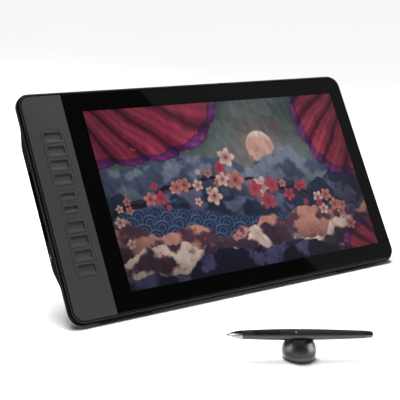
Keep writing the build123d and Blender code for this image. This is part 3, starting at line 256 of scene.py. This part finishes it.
# Named by the record's material slots; the last three are for single pieces
finish = {
    "frame": mouldedPlastic("frameSatinBlack", (0.004, 0.004, 0.0043), 0.34, grain=3200.0, depth=0.00001,
                            specular=0.12, ior=1.2),
    "cover": mouldedPlastic("coverGrainedBlack", (0.0055, 0.0055, 0.0058), 0.6, grain=1900.0, depth=0.00004,
                            specular=0.05, ior=1.2),
    "panel": mouldedPlastic("panelSoftGrey", (0.041, 0.041, 0.0414), 0.55, tone=0.05),
    "keys": mouldedPlastic("keySoftGrey", (0.043, 0.043, 0.0434), 0.5, tone=0.05),
    "glass": polishedGlass("blackGlass", (0.0015, 0.0015, 0.0017))[0],
    "tape": softRubber("foamTapeBlack", (0.012, 0.012, 0.012), 0.9),
    "board": boardLacquer("boardGreen", (0.012, 0.075, 0.035)),
    "chips": mouldedPlastic("chipBlack", (0.02, 0.02, 0.021), 0.55),
    "domes": drawnMetal("domeSteel", (0.6, 0.6, 0.6), 0.25),
    "screws": drawnMetal("screwBlackened", (0.12, 0.12, 0.125), 0.38),
    "screen": mouldedPlastic("cellGrey", (0.03, 0.03, 0.032), 0.3),
    "guide": mouldedPlastic("guideWhite", (0.8, 0.8, 0.82), 0.2, coat=0.5),
    "tray": drawnMetal("traySheet", (0.5, 0.5, 0.52), 0.4),
    "foam": softRubber("foamGrey", (0.05, 0.05, 0.05), 0.95),
    "cable": mouldedPlastic("filmAmber", (0.25, 0.11, 0.03), 0.3, coat=0.6),
    "sockets": drawnMetal("socketShell", (0.42, 0.42, 0.43), 0.3),
    "jack": mouldedPlastic("jackBlack", (0.012, 0.012, 0.012), 0.3),
    "brass": drawnMetal("insertBrass", (0.55, 0.38, 0.16), 0.28),
    "rubber": softRubber("footRubber", (0.018, 0.018, 0.018)),
    "steel": drawnMetal("pinSteel", (0.55, 0.55, 0.56), 0.26),
    "leg": drawnMetal("legDarkAnodised", (0.075, 0.075, 0.08), 0.42),
    "button": mouldedPlastic("buttonMattBlack", (0.005, 0.005, 0.0053), 0.55, ior=1.2),
    "light": mouldedPlastic("lightClear", (0.42, 0.44, 0.47), 0.2),
    "pen": mouldedPlastic("penSoftBlack", (0.022, 0.022, 0.023), 0.36, grain=2800.0, depth=0.000006,
                          coat=0.5, coatRoughness=0.2),
    "pen_trim": mouldedPlastic("penGlossBlack", (0.014, 0.014, 0.015), 0.14, depth=0.000006, coat=1.0),
    "pen_nose": drawnMetal("noseDarkChrome", (0.36, 0.36, 0.37), 0.24, (1, 1, 60)),
    "nib": mouldedPlastic("nibBlack", (0.01, 0.01, 0.01), 0.45),
    "coil": mouldedPlastic("coilCopper", (0.3, 0.12, 0.05), 0.4, metallic=0.6),
    "battery": drawnMetal("batteryCan", (0.5, 0.5, 0.52), 0.35),
    "holder": mouldedPlastic("holderGloss", (0.016, 0.016, 0.017), 0.3, grain=1200.0, depth=0.000003,
                             ior=1.3, coat=0.5, coatRoughness=0.32),
    "nib_block": mouldedPlastic("nibBlockGrey", (0.08, 0.08, 0.08), 0.5),
    "holder_base": mouldedPlastic("holderShellGrey", (0.05, 0.05, 0.051), 0.3, coat=0.8, coatRoughness=0.2),
    "power_light": mouldedPlastic("lightFrosted", (0.85, 0.87, 0.9), 0.4),
    # The frame lip's lighter grey is a painted highlight along the edge of the frame
    "frame_highlight_lip": mouldedPlastic("lipPaintedHighlightGrey", (0.034, 0.034, 0.035), 0.34, grain=3200.0, depth=0.00001),
}

slotOf = {entry["node"]: entry["material_slot"] for entry in frame["record"]["subparts"]}
softCorner = {"angle": math.radians(32), "weld": 0.000002}


# CAD pieces come as loose triangles, so they are welded and split at their sharp edges to shade smoothly
def dressNode(name, obj):
    obj.data.materials.clear()
    obj.data.materials.append(finish.get(name, finish[slotOf[name]]))
    weld = obj.modifiers.new("weld", "WELD")
    weld.merge_threshold = softCorner["weld"]
    split = obj.modifiers.new("sharp", "EDGE_SPLIT")
    split.split_angle = softCorner["angle"]
    obj.data.polygons.foreach_set("use_smooth", np.ones(len(obj.data.polygons), bool))


for name, obj in nodes.items():
    dressNode(name, obj)
print("CAD pieces dressed")

# The picture on the screen, painted by formula on a grid of points. Its y runs from 0 to 1 up the
# screen, and its x from 0 to about width in the same unit.
picture = {
    "columns": 430, "rows": 230, "proud": 0.03 * mm, "strength": 1.0, "glass": (0.004, 0.004, 0.004),
    "width": 1.78, "lattice": 64,
    "brush": 0.36, "brushMiddle": 0.45, "brushSeed": 131, "brushOctaves": 3,
    "brushAlong": (40, 13), "brushAcross": (-9, 17),
    "cornerDim": 0.35, "cornerWide": 1.25, "cornerFrom": 0.35, "cornerTo": 0.85,
    "colors": {
        "sky": (0.275, 0.335, 0.34), "skyLow": (0.41, 0.42, 0.42), "cloudPale": (0.40, 0.44, 0.45),
        "cloudDark": (0.14, 0.17, 0.19), "glow": (0.66, 0.46, 0.42), "cream": (0.76, 0.67, 0.62),
        "far": (0.25, 0.29, 0.38), "farLit": (0.41, 0.44, 0.50),
        "hill": (0.13, 0.16, 0.24), "hillLit": (0.33, 0.33, 0.43),
        "dune": (0.28, 0.19, 0.24), "duneLow": (0.22, 0.16, 0.21),
        "near": (0.09, 0.09, 0.15), "nearLit": (0.25, 0.24, 0.36),
        "deep": (0.11, 0.13, 0.23), "water": (0.24, 0.31, 0.42), "foam": (0.44, 0.56, 0.62),
        "crimson": (0.44, 0.13, 0.22), "wine": (0.18, 0.04, 0.10), "rose": (0.62, 0.23, 0.31),
        "plum": (0.14, 0.04, 0.15), "violet": (0.32, 0.10, 0.32), "lilac": (0.48, 0.22, 0.46),
        "clothShadow": (0.06, 0.06, 0.11), "bark": (0.13, 0.08, 0.13), "heart": (0.45, 0.16, 0.18),
        "petalShadow": (0.40, 0.17, 0.20), "petalLine": (0.30, 0.12, 0.18),
    },
    # Clouds above and below the middle tone as: from, to, strength, colour
    "air": {
        "lowFrom": 0.9, "lowDeep": 0.6, "lowStrength": 0.5, "along": (3, 1), "across": (0, 6), "seed": 3,
        "clouds": ((0.5, 0.72, 0.4, "cloudPale"), (0.46, 0.34, 0.35, "cloudDark")),
        "moon": (1.10, 0.70), "moonRadius": 0.105, "moonEdge": 0.01, "haze": 0.24, "hazeStrength": 0.35,
        "spotFrom": 0.40, "spotTo": 0.62, "spotStrength": 0.6,
    },
    # Ridges from far to near as: height, how far they wander, seed, colour, colour of the lit slopes
    "land": {
        "mountains": ((0.62, 0.20, 11, "far", "farLit"), (0.49, 0.20, 31, "hill", "hillLit")),
        "dunes": ((0.27, 0.19, 53, "dune", "glow"), (0.17, 0.17, 65, "duneLow", "cream"),
                  (0.10, 0.13, 71, "near", "nearLit")),
        "ridgeScale": 3.1, "ridgeOctaves": 6, "litAlong": (9, 5), "litAcross": (-4, 11), "seedStep": 20,
        "litFrom": -0.06, "litTo": 0.1, "dimDepth": 0.35, "dim": 0.45, "edge": 0.003,
    },
    "sea": {
        "rows": 16, "top": 0.52, "radius": 0.046, "grow": 1.035, "rowStep": 0.62, "flatten": 1.25,
        "rings": 15.5, "edge": 0.08, "shoreLow": -0.01, "shoreHigh": 0.03, "foamFrom": 0.75,
        "foamTo": 0.95, "lineFrom": 0.05, "lineTo": 0.16, "lineStrength": 0.7,
        "crest": 0.42, "fall": 0.10, "roll": 0.03, "rolls": 5,
        "bendAcross": 0.03, "acrossScale": 4, "acrossSeed": 141,
        "bendUp": 0.05, "upScale": 3, "upSeed": 151, "swell": 0.012, "swells": 7,
    },
    # Drapes as: the point it hangs from, its hem's distance from there by angle, pleats, seed. The
    # lining reaches further down than the cloth: how much, then its dark, middle and light colour.
    "cloth": {
        "drapes": (
            ((-0.25, 1.30), lambda angle: 0.62 + 0.46 * np.cos(angle * 1.7 + 0.5) ** 2, 15.0, 91),
            ((2.05, 1.25), lambda angle: 0.52 + 0.30 * np.cos(angle * 1.5) ** 2, 17.0, 111),
            ((2.02, -0.22), lambda angle: 0.40 + 0.12 * np.sin(angle * 3), 14.0, 121),
        ),
        "layers": ((0.05, ("plum", "violet", "lilac")), (0.0, ("wine", "crimson", "rose"))),
        "swayScale": 2.2, "sway": 3.4, "twist": 1.5, "foldPower": 0.7,
        "strands": 6.3, "strandScale": 6, "strandSeed": 3, "strandSway": 5,
        "foldTone": 0.72, "strandTone": 0.28, "patchBase": 0.6, "patch": 0.4, "patchGain": 1.6,
        "patchScale": 4, "patchSeed": 9, "hemSwell": 0.035, "hemWander": 0.10, "hemScale": 5,
        "hemSeed": 5, "edge": 0.006, "seamFrom": 0.012, "seamTo": 0.004, "seamStrength": 0.7,
        "shadowWide": 0.05, "shadowSoft": 0.09, "shadowStrength": 0.4,
    },
    "flower": {
        "rim": 0.58, "petal": 0.42, "petals": 5, "edge": 0.09, "vein": 0.22, "veins": 15,
        "veinFrom": 0.15, "veinTo": 0.8, "shade": 0.38, "shadeFrom": 0.1, "shadeTo": 0.75,
        "lineFrom": 0.05, "lineTo": 0.16, "lineStrength": 0.55, "heart": 0.2, "heartEdge": 0.08,
    },
    "bough": {
        "height": 0.36, "swing": 0.17, "bends": 2.1, "start": 0.2, "knots": 0.02, "knotBends": 21,
        "thick": 0.013, "root": 1.4, "thin": 0.6, "edge": 0.004, "end": 1.62, "fade": 0.1,
    },
    "blossom": {
        "seed": 7, "count": 44, "from": 0.02, "small": 0.018, "large": 0.062, "sizeBase": 0.75,
        "sizeMore": 0.45, "fullAt": 0.95, "fullWide": 0.4, "spread": 0.07, "turn": 6.3,
        "colors": ("cream", "glow", "rose"),
        "petals": 60, "petalLow": 0.05, "petalHigh": 0.98, "petalSmall": 0.004, "petalLarge": 0.011,
    },
}


def tint(name):
    return picture["colors"][name]


# Smooth random field: random values on a lattice, blended between by s*s*(3-2s) each way
def lattice(x, y, seed):
    size = picture["lattice"]
    table = np.random.default_rng(seed).random((size, size))
    left, low = np.floor(x).astype(int), np.floor(y).astype(int)
    fx, fy = x - left, y - low
    fx, fy = fx * fx * (3 - 2 * fx), fy * fy * (3 - 2 * fy)
    value = lambda i, j: table[(left + i) % size, (low + j) % size]
    bottom = value(0, 0) * (1 - fx) + value(1, 0) * fx
    top = value(0, 1) * (1 - fx) + value(1, 1) * fx
    return bottom * (1 - fy) + top * fy


# Cloudy field: lattices, each twice as fine and half as strong as the last
def cloudy(x, y, seed, octaves=5):
    total = np.zeros_like(x)
    for step in range(octaves):
        total += lattice(x * 2 ** step, y * 2 ** step, seed + step) / 2 ** (step + 1)
    return total


# The cloudy field turned and stretched: along and across say what x and y each add to its two axes
def slanted(x, y, along, across, seed, octaves=5):
    return cloudy(x * along[0] + y * along[1], x * across[0] + y * across[1], seed, octaves)


# Goes from 0 to 1 as value passes from low to high, which may be the smaller one
def risen(value, low, high):
    share = np.clip((value - low) / (high - low), 0, 1)
    return share * share * (3 - 2 * share)


# Colours, single or one a point, mixed by a share for each point
def blended(first, second, share):
    share = share[..., None]
    return np.asarray(first, float) * (1 - share) + np.asarray(second, float) * share


def paintOver(canvas, cover, color):
    canvas[...] = blended(canvas, color, cover)


# The glow round the moon falls off as exp of minus the square of the distance over haze
def paintSky(canvas, x, y):
    a = picture["air"]
    clouds = slanted(x, y, a["along"], a["across"], a["seed"])
    low = risen(a["lowFrom"] - y, 0, a["lowDeep"])
    paintOver(canvas, low * a["lowStrength"], tint("skyLow"))
    for start, end, strength, color in a["clouds"]:
        paintOver(canvas, risen(clouds, start, end) * strength, tint(color))
    away = np.hypot(x - a["moon"][0], y - a["moon"][1])
    paintOver(canvas, np.exp(-(away / a["haze"]) ** 2) * a["hazeStrength"], tint("glow"))
    moon = risen(a["moonRadius"] - away, 0, a["moonEdge"])
    paintOver(canvas, moon, tint("cream"))
    spots = risen(clouds, a["spotFrom"], a["spotTo"]) * a["spotStrength"]
    paintOver(canvas, moon * spots, tint("glow"))


# Everything below a ridge line, lit in patches of a slanting cloudy field and dimmer further down
def paintRidge(canvas, x, y, height, wander, seed, color, lit):
    s = picture["land"]
    sway = cloudy(x * s["ridgeScale"], x * 0 + seed, seed, s["ridgeOctaves"]) - 0.5
    line = height + wander * sway * 2
    facing = slanted(x, y, s["litAlong"], s["litAcross"], seed + s["seedStep"]) - 0.5
    body = blended(tint(color), tint(lit), risen(facing, s["litFrom"], s["litTo"]))
    depth = risen(line - y, 0.0, s["dimDepth"])
    body = body * (1 - s["dim"] * depth[..., None])
    paintOver(canvas, risen(line - y, -s["edge"], s["edge"]), body)


# Waves as overlapping fans: rows of discs below the crest line, each row lower than and in front of
# the last, with rings in them
def paintWaves(canvas, x, y):
    s = picture["sea"]
    crest = s["crest"] - s["fall"] * x + s["roll"] * np.sin(x * s["rolls"])
    shore = risen(crest - y, s["shoreLow"], s["shoreHigh"])
    acrossField = cloudy(x * s["acrossScale"], y * s["acrossScale"], s["acrossSeed"]) - 0.5
    upField = cloudy(x * s["upScale"], y * s["upScale"], s["upSeed"]) - 0.5
    bentX = x + s["bendAcross"] * acrossField
    bentY = y + s["bendUp"] * upField + s["swell"] * np.sin(x * s["swells"])
    radius = s["radius"]
    for row in range(s["rows"]):
        across = (bentX + (row % 2) * radius) % (2 * radius) - radius
        above = bentY - (s["top"] - row * radius * s["rowStep"])
        away = np.hypot(across, above * s["flatten"]) / radius
        cover = risen(1 - away, 0.0, s["edge"]) * shore
        body = blended(tint("deep"), tint("water"), 0.5 + 0.5 * np.cos(away * s["rings"]))
        foam = risen(above, 0.0, radius) * risen(away, s["foamFrom"], s["foamTo"])
        paintOver(canvas, cover, blended(body, tint("foam"), foam))
        line = cover * (1 - risen(1 - away, s["lineFrom"], s["lineTo"])) * s["lineStrength"]
        paintOver(canvas, line, tint("near"))
        radius = radius * s["grow"]


# Pleats run out from the anchor, |sin| of the angle bent by the cloudy field, with finer strands
# between them; the hem swells with every pleat
def paintDrape(canvas, x, y, anchor, hemAway, pleats, seed, dark, mid, light):
    c = picture["cloth"]
    dx, dy = x - anchor[0], y - anchor[1]
    away, angle = np.hypot(dx, dy), np.arctan2(dy, dx)
    field = lambda scale, step: cloudy(x * scale, y * scale, seed + step)
    bend = angle * pleats + field(c["swayScale"], 0) * c["sway"] + away * c["twist"]
    fold = np.abs(np.sin(bend)) ** c["foldPower"]
    strandSway = field(c["strandScale"], c["strandSeed"]) * c["strandSway"]
    strands = 0.5 + 0.5 * np.sin(bend * c["strands"] + strandSway)
    patch = c["patchBase"] + c["patch"] * field(c["patchScale"], c["patchSeed"]) * c["patchGain"]
    tone = np.clip((c["foldTone"] * fold + c["strandTone"] * strands * fold) * patch, 0, 1)
    wander = c["hemWander"] * (field(c["hemScale"], c["hemSeed"]) - 0.5)
    hem = hemAway(angle) * (1 + c["hemSwell"] * fold + wander)
    below = blended(dark, mid, tone * 2)
    above = blended(mid, light, tone * 2 - 1)
    body = np.where(tone[..., None] < 0.5, below, above)
    shadow = risen(hem + c["shadowWide"] - away, 0.0, c["shadowSoft"]) * c["shadowStrength"]
    paintOver(canvas, shadow, tint("clothShadow"))
    cover = risen(hem - away, 0.0, c["edge"])
    paintOver(canvas, cover, body)
    seam = risen(hem - away, c["seamFrom"], c["seamTo"]) * c["seamStrength"]
    paintOver(canvas, cover * seam, dark)


# A flower of five petals: its rim is at size * (0.58 + 0.42 |cos(5 angle / 2)|)
def paintFlower(canvas, x, y, spot, size, turn, petal, heart):
    f = picture["flower"]
    dx, dy = x - spot[0], y - spot[1]
    away, angle = np.hypot(dx, dy), np.arctan2(dy, dx) + turn
    rim = size * (f["rim"] + f["petal"] * np.abs(np.cos(f["petals"] / 2 * angle)))
    inside = risen(rim - away, 0.0, size * f["edge"])
    outer = risen(away / size, f["veinFrom"], f["veinTo"])
    vein = f["vein"] * np.abs(np.cos(f["veins"] / 2 * angle)) * outer
    shade = 1 - f["shade"] + f["shade"] * risen(away / size, f["shadeFrom"], f["shadeTo"])
    paintOver(canvas, inside, blended(tint("petalShadow"), tint(petal), shade * (1 - f["vein"] + vein)))
    line = inside * (1 - risen(rim - away, size * f["lineFrom"], size * f["lineTo"]))
    paintOver(canvas, line * f["lineStrength"], tint("petalLine"))
    paintOver(canvas, risen(size * f["heart"] - away, 0.0, size * f["heartEdge"]), tint(heart))


def boughHeight(x):
    bough = picture["bough"]
    return bough["height"] + bough["swing"] * np.sin(x * bough["bends"] + bough["start"])


# A bough that thins to its end, flowers strewn along it, the largest near fullAt, and petals in the air
def paintBlossom(canvas, x, y):
    bough, b = picture["bough"], picture["blossom"]
    line = boughHeight(x) + bough["knots"] * np.sin(x * bough["knotBends"])
    half = bough["thick"] * (bough["root"] - bough["thin"] * x)
    cover = risen(half - np.abs(y - line), 0, bough["edge"]) * risen(bough["end"] - x, 0, bough["fade"])
    paintOver(canvas, cover, tint("bark"))
    rng = np.random.default_rng(b["seed"])
    for place in range(b["count"]):
        along = rng.uniform(b["from"], bough["end"])
        full = np.exp(-((along - b["fullAt"]) / b["fullWide"]) ** 2)
        size = rng.uniform(b["small"], b["large"]) * (b["sizeBase"] + b["sizeMore"] * full)
        spot = (along, boughHeight(along) + rng.normal(0, b["spread"]))
        petal = b["colors"][place % len(b["colors"])]
        paintFlower(canvas, x, y, spot, size, rng.uniform(0, b["turn"]), petal, "heart")
    for place in range(b["petals"]):
        spot = (rng.uniform(0, picture["width"]), rng.uniform(b["petalLow"], b["petalHigh"]))
        size = rng.uniform(b["petalSmall"], b["petalLarge"])
        paintFlower(canvas, x, y, spot, size, rng.uniform(0, b["turn"]), "rose", "wine")


# Sky with a moon, two mountain ranges, waves, pale dunes, a rocky shore, drapes and blossom, then
# brush marks over all of it and dimmer corners
def paintPicture(x, y):
    p = picture
    canvas = np.ones(x.shape + (3,)) * np.asarray(tint("sky"))
    paintSky(canvas, x, y)
    for ridge in p["land"]["mountains"]:
        paintRidge(canvas, x, y, *ridge)
    paintWaves(canvas, x, y)
    for ridge in p["land"]["dunes"]:
        paintRidge(canvas, x, y, *ridge)
    for further, colors in p["cloth"]["layers"]:
        for anchor, reach, pleats, seed in p["cloth"]["drapes"]:
            hemAway = lambda angle: further + reach(angle)
            paintDrape(canvas, x, y, anchor, hemAway, pleats, seed, *map(tint, colors))
    paintBlossom(canvas, x, y)
    brush = slanted(x, y, p["brushAlong"], p["brushAcross"], p["brushSeed"], p["brushOctaves"])
    canvas = canvas * (1 + p["brush"] * (brush - p["brushMiddle"])[..., None])
    fromMiddle = np.hypot((x / p["width"] - 0.5) * p["cornerWide"], y - 0.5)
    corner = 1 - p["cornerDim"] * risen(fromMiddle, p["cornerFrom"], p["cornerTo"])
    return np.clip(canvas * corner[..., None], 0, 1)


# Screen colours to linear ones: value / 12.92 up to 0.04045, else ((value + 0.055) / 1.055) ** 2.4
def toLinear(shown):
    return np.where(shown <= 0.04045, shown / 12.92, ((shown + 0.055) / 1.055) ** 2.4)


# A surface from an array of points with two parameters: rows by columns by 3
def gridMesh(name, points, closeAround=False):
    rows, columns = points.shape[:2]
    index = np.arange(rows * columns).reshape(rows, columns)
    if closeAround:
        index = np.concatenate([index, index[:, :1]], axis=1)
    corners = (index[:-1, :-1], index[:-1, 1:], index[1:, 1:], index[1:, :-1])
    quads = np.stack(corners, axis=-1).reshape(-1, len(corners))
    mesh = bpy.data.meshes.new(name)
    mesh.vertices.add(rows * columns)
    mesh.vertices.foreach_set("co", points.reshape(-1).astype(np.float32))
    mesh.loops.add(quads.size)
    mesh.loops.foreach_set("vertex_index", quads.reshape(-1).astype(np.int32))
    mesh.polygons.add(len(quads))
    mesh.polygons.foreach_set("loop_start", np.arange(0, quads.size, len(corners), dtype=np.int32))
    mesh.update(calc_edges=True)
    mesh.polygons.foreach_set("use_smooth", np.ones(len(quads), bool))
    obj = bpy.data.objects.new(name, mesh)
    bpy.context.scene.collection.objects.link(obj)
    return obj


# The lit picture, laid on the window of the glass: across * width and up * height, a hair proud of it.
# across and up run from 0 to 1.
def makePicture():
    across, up = np.meshgrid(np.linspace(0, 1, picture["columns"]), np.linspace(0, 1, picture["rows"]))
    linear = toLinear(paintPicture(across * (screen["width"] / screen["height"]), up))
    points = onTablet((across - 0.5) * screen["width"], (up - 0.5) * screen["height"], picture["proud"])
    obj = gridMesh("screen_picture", points)
    layer = obj.data.color_attributes.new("painted", "FLOAT_COLOR", "POINT")
    rgba = np.concatenate([linear, np.ones(linear.shape[:2] + (1,))], axis=-1)
    layer.data.foreach_set("color", rgba.reshape(-1).astype(np.float32))
    material, tree, shader = polishedGlass("litPicture", picture["glass"])
    paint = tree.nodes.new("ShaderNodeVertexColor")
    paint.layer_name = "painted"
    tree.links.new(paint.outputs["Color"], shader.inputs["Emission Color"])
    shader.inputs["Emission Strength"].default_value = picture["strength"]
    obj.data.materials.append(material)
    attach(obj, "tablet")


makePicture()
print("picture painted")

# The lip is coloured a lighter grey than the frame: a painted highlight along the frame's edge
# The thin raised lip of the frame round the face: a flat half bead swept round a rounded rectangle, so a
# point is the outline at inset plus halfWidth * cos(turn) outward and height * sin(turn) out of the glass
frameLip = {
    "left": -242.5 * mm, "right": 193.5 * mm, "bottom": -119.5 * mm, "top": 120.5 * mm,
    "corner": 15.0 * mm, "inset": 2.15 * mm, "halfWidth": 0.42 * mm, "height": 0.34 * mm, "base": -0.56 * mm,
    "aroundCorner": 24, "acrossBead": 9,
}


# Points and outward directions round a rectangle with round corners, from its limits and corner radius
def roundedPath(left, right, bottom, top, corner, perCorner):
    points, outward = [], []
    quarters = ((right - corner, top - corner, 0.0), (left + corner, top - corner, 0.5),
                (left + corner, bottom + corner, 1.0), (right - corner, bottom + corner, 1.5))
    for x, y, start in quarters:
        angle = (start + np.linspace(0, 0.5, perCorner)) * math.pi
        direction = np.stack([np.cos(angle), np.sin(angle)], axis=-1)
        points.append(np.array([x, y]) + corner * direction)
        outward.append(direction)
    return np.concatenate(points), np.concatenate(outward)


def makeFrameLip():
    f = frameLip
    inset = f["inset"]
    path, outward = roundedPath(f["left"] + inset, f["right"] - inset, f["bottom"] + inset,
                                f["top"] - inset, f["corner"] - inset, f["aroundCorner"])
    turn = np.linspace(math.pi, 0, f["acrossBead"])
    across = f["halfWidth"] * np.cos(turn)
    rise = f["base"] + f["height"] * np.sin(turn)
    flat = path[None] + outward[None] * across[:, None, None]
    points = onTablet(flat[..., 0], flat[..., 1], rise[:, None])
    obj = gridMesh("frame_highlight_lip", points, closeAround=True)
    obj.data.materials.append(finish["frame_highlight_lip"])
    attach(obj, "tablet")


makeFrameLip()
print("frame lip laid")

# Floor and light. The soft box hangs over the back of the tablet, nearer to its top edge than to its
# foot. The cards only show as reflections, each on the few pieces that it lights.
studio = {
    "floor": (0.9, 0.9, 0.9), "floorHalf": 14.0, "floorRoughness": 0.6, "floorSpecular": 0.2,
    "floorCloud": 3.0, "floorGlossy": 0.55, "floorDull": 0.65,
    "sunStrength": 3.4, "sunAngle": 42.0, "sunFrom": (0.08, 0.25, 0.95),
    "horizon": 0.7, "overhead": 0.015, "horizonUpTo": 4.0, "overheadFrom": 24.0, "worldStrength": 1.0,
    "box": {"place": (0.05, 0.36, 0.75), "size": 0.5, "power": 12.5, "aimOnTablet": (-0.2, 0.05, 0.0)},
    "glareEdge": ((-99.7 * mm, 119.3 * mm), (67.9 * mm, -113.7 * mm)),
    "glareSide": (193.0 * mm, 60.0 * mm), "glareDistance": 1.6, "glareRadiance": 0.15, "glareSize": 2.4,
    "cards": {
        "card_left": {"place": (-0.44, 0.05, 0.10), "size": 0.34, "power": 2.6,
                      "lights": ("holder_dome", "holder_base")},
        "card_right": {"place": (0.28, -0.43, 0.13), "size": 0.34, "power": 3.2,
                       "lights": ("holder_dome", "holder_base")},
        "card_nose": {"place": (-1.1, -0.62, 0.86), "size": 0.5, "power": 12.0,
                      "lights": ("pen_nose", "pen_end_cap")},
    },
    "cardAim": (-0.057, -0.148, 0.015),
}


def makeFloor():
    half = studio["floorHalf"]
    points = np.array([[[x, y, 0.0] for x in (-half, half)] for y in (-half, half)])
    obj = gridMesh("floor", points)
    material, tree, shader = newMaterial("floorPale", studio["floor"], studio["floorRoughness"],
                                         specular=studio["floorSpecular"])
    cloud = noiseTexture(tree, studio["floorCloud"])
    gloss = ranged(tree, cloud, studio["floorGlossy"], studio["floorDull"])
    tree.links.new(gloss, shader.inputs["Roughness"])
    obj.data.materials.append(material)


def makeSun():
    data = bpy.data.lights.new("overhead", "SUN")
    data.energy = studio["sunStrength"]
    data.angle = math.radians(studio["sunAngle"])
    obj = bpy.data.objects.new("overhead", data)
    obj.rotation_euler = Vector(studio["sunFrom"]).to_track_quat("Z", "Y").to_euler()
    obj.visible_glossy = False
    bpy.context.scene.collection.objects.link(obj)


def newSquareLight(name, size, power):
    data = bpy.data.lights.new(name, "AREA")
    data.shape = "SQUARE"
    data.size = size
    data.energy = power
    obj = bpy.data.objects.new(name, data)
    obj.visible_camera = False
    bpy.context.scene.collection.objects.link(obj)
    return obj


def placeAndAim(obj, place, target):
    obj.location = place
    obj.rotation_euler = (Vector(place) - Vector(target)).to_track_quat("Z", "Y").to_euler()


def makeSoftBox():
    box = studio["box"]
    obj = newSquareLight("soft_box", box["size"], box["power"])
    placeAndAim(obj, box["place"], onTablet(*box["aimOnTablet"]))
    obj.visible_glossy = False


def makeCard(name, card):
    obj = newSquareLight(name, card["size"], card["power"])
    placeAndAim(obj, card["place"], studio["cardAim"])
    obj.visible_diffuse = False
    lit = bpy.data.collections.new(name + "_lights")
    for node in card["lights"]:
        lit.objects.link(nodes[node])
    obj.light_linking.receiver_collection = lit


# The sky of the room: pale near the horizon and dim overhead, so that the glass stays black
def makeWorld():
    world = bpy.data.worlds.new("room")
    world.use_nodes = True
    tree = world.node_tree
    background = tree.nodes["Background"]
    coords = tree.nodes.new("ShaderNodeTexCoord")
    split = tree.nodes.new("ShaderNodeSeparateXYZ")
    tree.links.new(coords.outputs["Generated"], split.inputs["Vector"])
    low, high = (math.sin(math.radians(studio[key])) for key in ("horizonUpTo", "overheadFrom"))
    shade = ranged(tree, split.outputs["Z"], studio["horizon"], studio["overhead"], low, high)
    tree.links.new(shade, background.inputs["Color"])
    background.inputs["Strength"].default_value = studio["worldStrength"]
    bpy.context.scene.world = world


# A dim card whose edge the glass mirrors as a slanting line: the camera's rays to both ends of that
# line are mirrored in the glass, and the card hangs where they arrive, on the side of glareSide
def makeGlareCard():
    eye = np.array(camera["place"])

    def mirrored(x, y):
        spot = onTablet(x, y, 0.0)
        ray = (spot - eye) / np.linalg.norm(spot - eye)
        ray = ray - 2 * (ray @ outOfGlass) * outOfGlass
        return spot + ray * studio["glareDistance"]

    first, second = (mirrored(*end) for end in studio["glareEdge"])
    side = mirrored(*studio["glareSide"])
    along = (second - first) / np.linalg.norm(second - first)
    out = side - first - ((side - first) @ along) * along
    out /= np.linalg.norm(out)
    size = studio["glareSize"]
    middle = (first + second) / 2 + out * size / 2
    facing = -np.cross(along, out)
    if facing @ (screenMiddle - middle) > 0:
        facing, along = -facing, -along
    obj = newSquareLight("glare_card", size, studio["glareRadiance"] * math.pi * size * size)
    axes = Matrix((along, np.cross(facing, along), facing)).transposed()
    obj.matrix_world = Matrix.Translation(middle) @ axes.to_4x4()


makeFloor()
makeSun()
makeSoftBox()
makeWorld()
makeGlareCard()
for name, card in studio["cards"].items():
    makeCard(name, card)
bpy.context.scene.view_settings.view_transform = "Standard"
print("floor and light set")
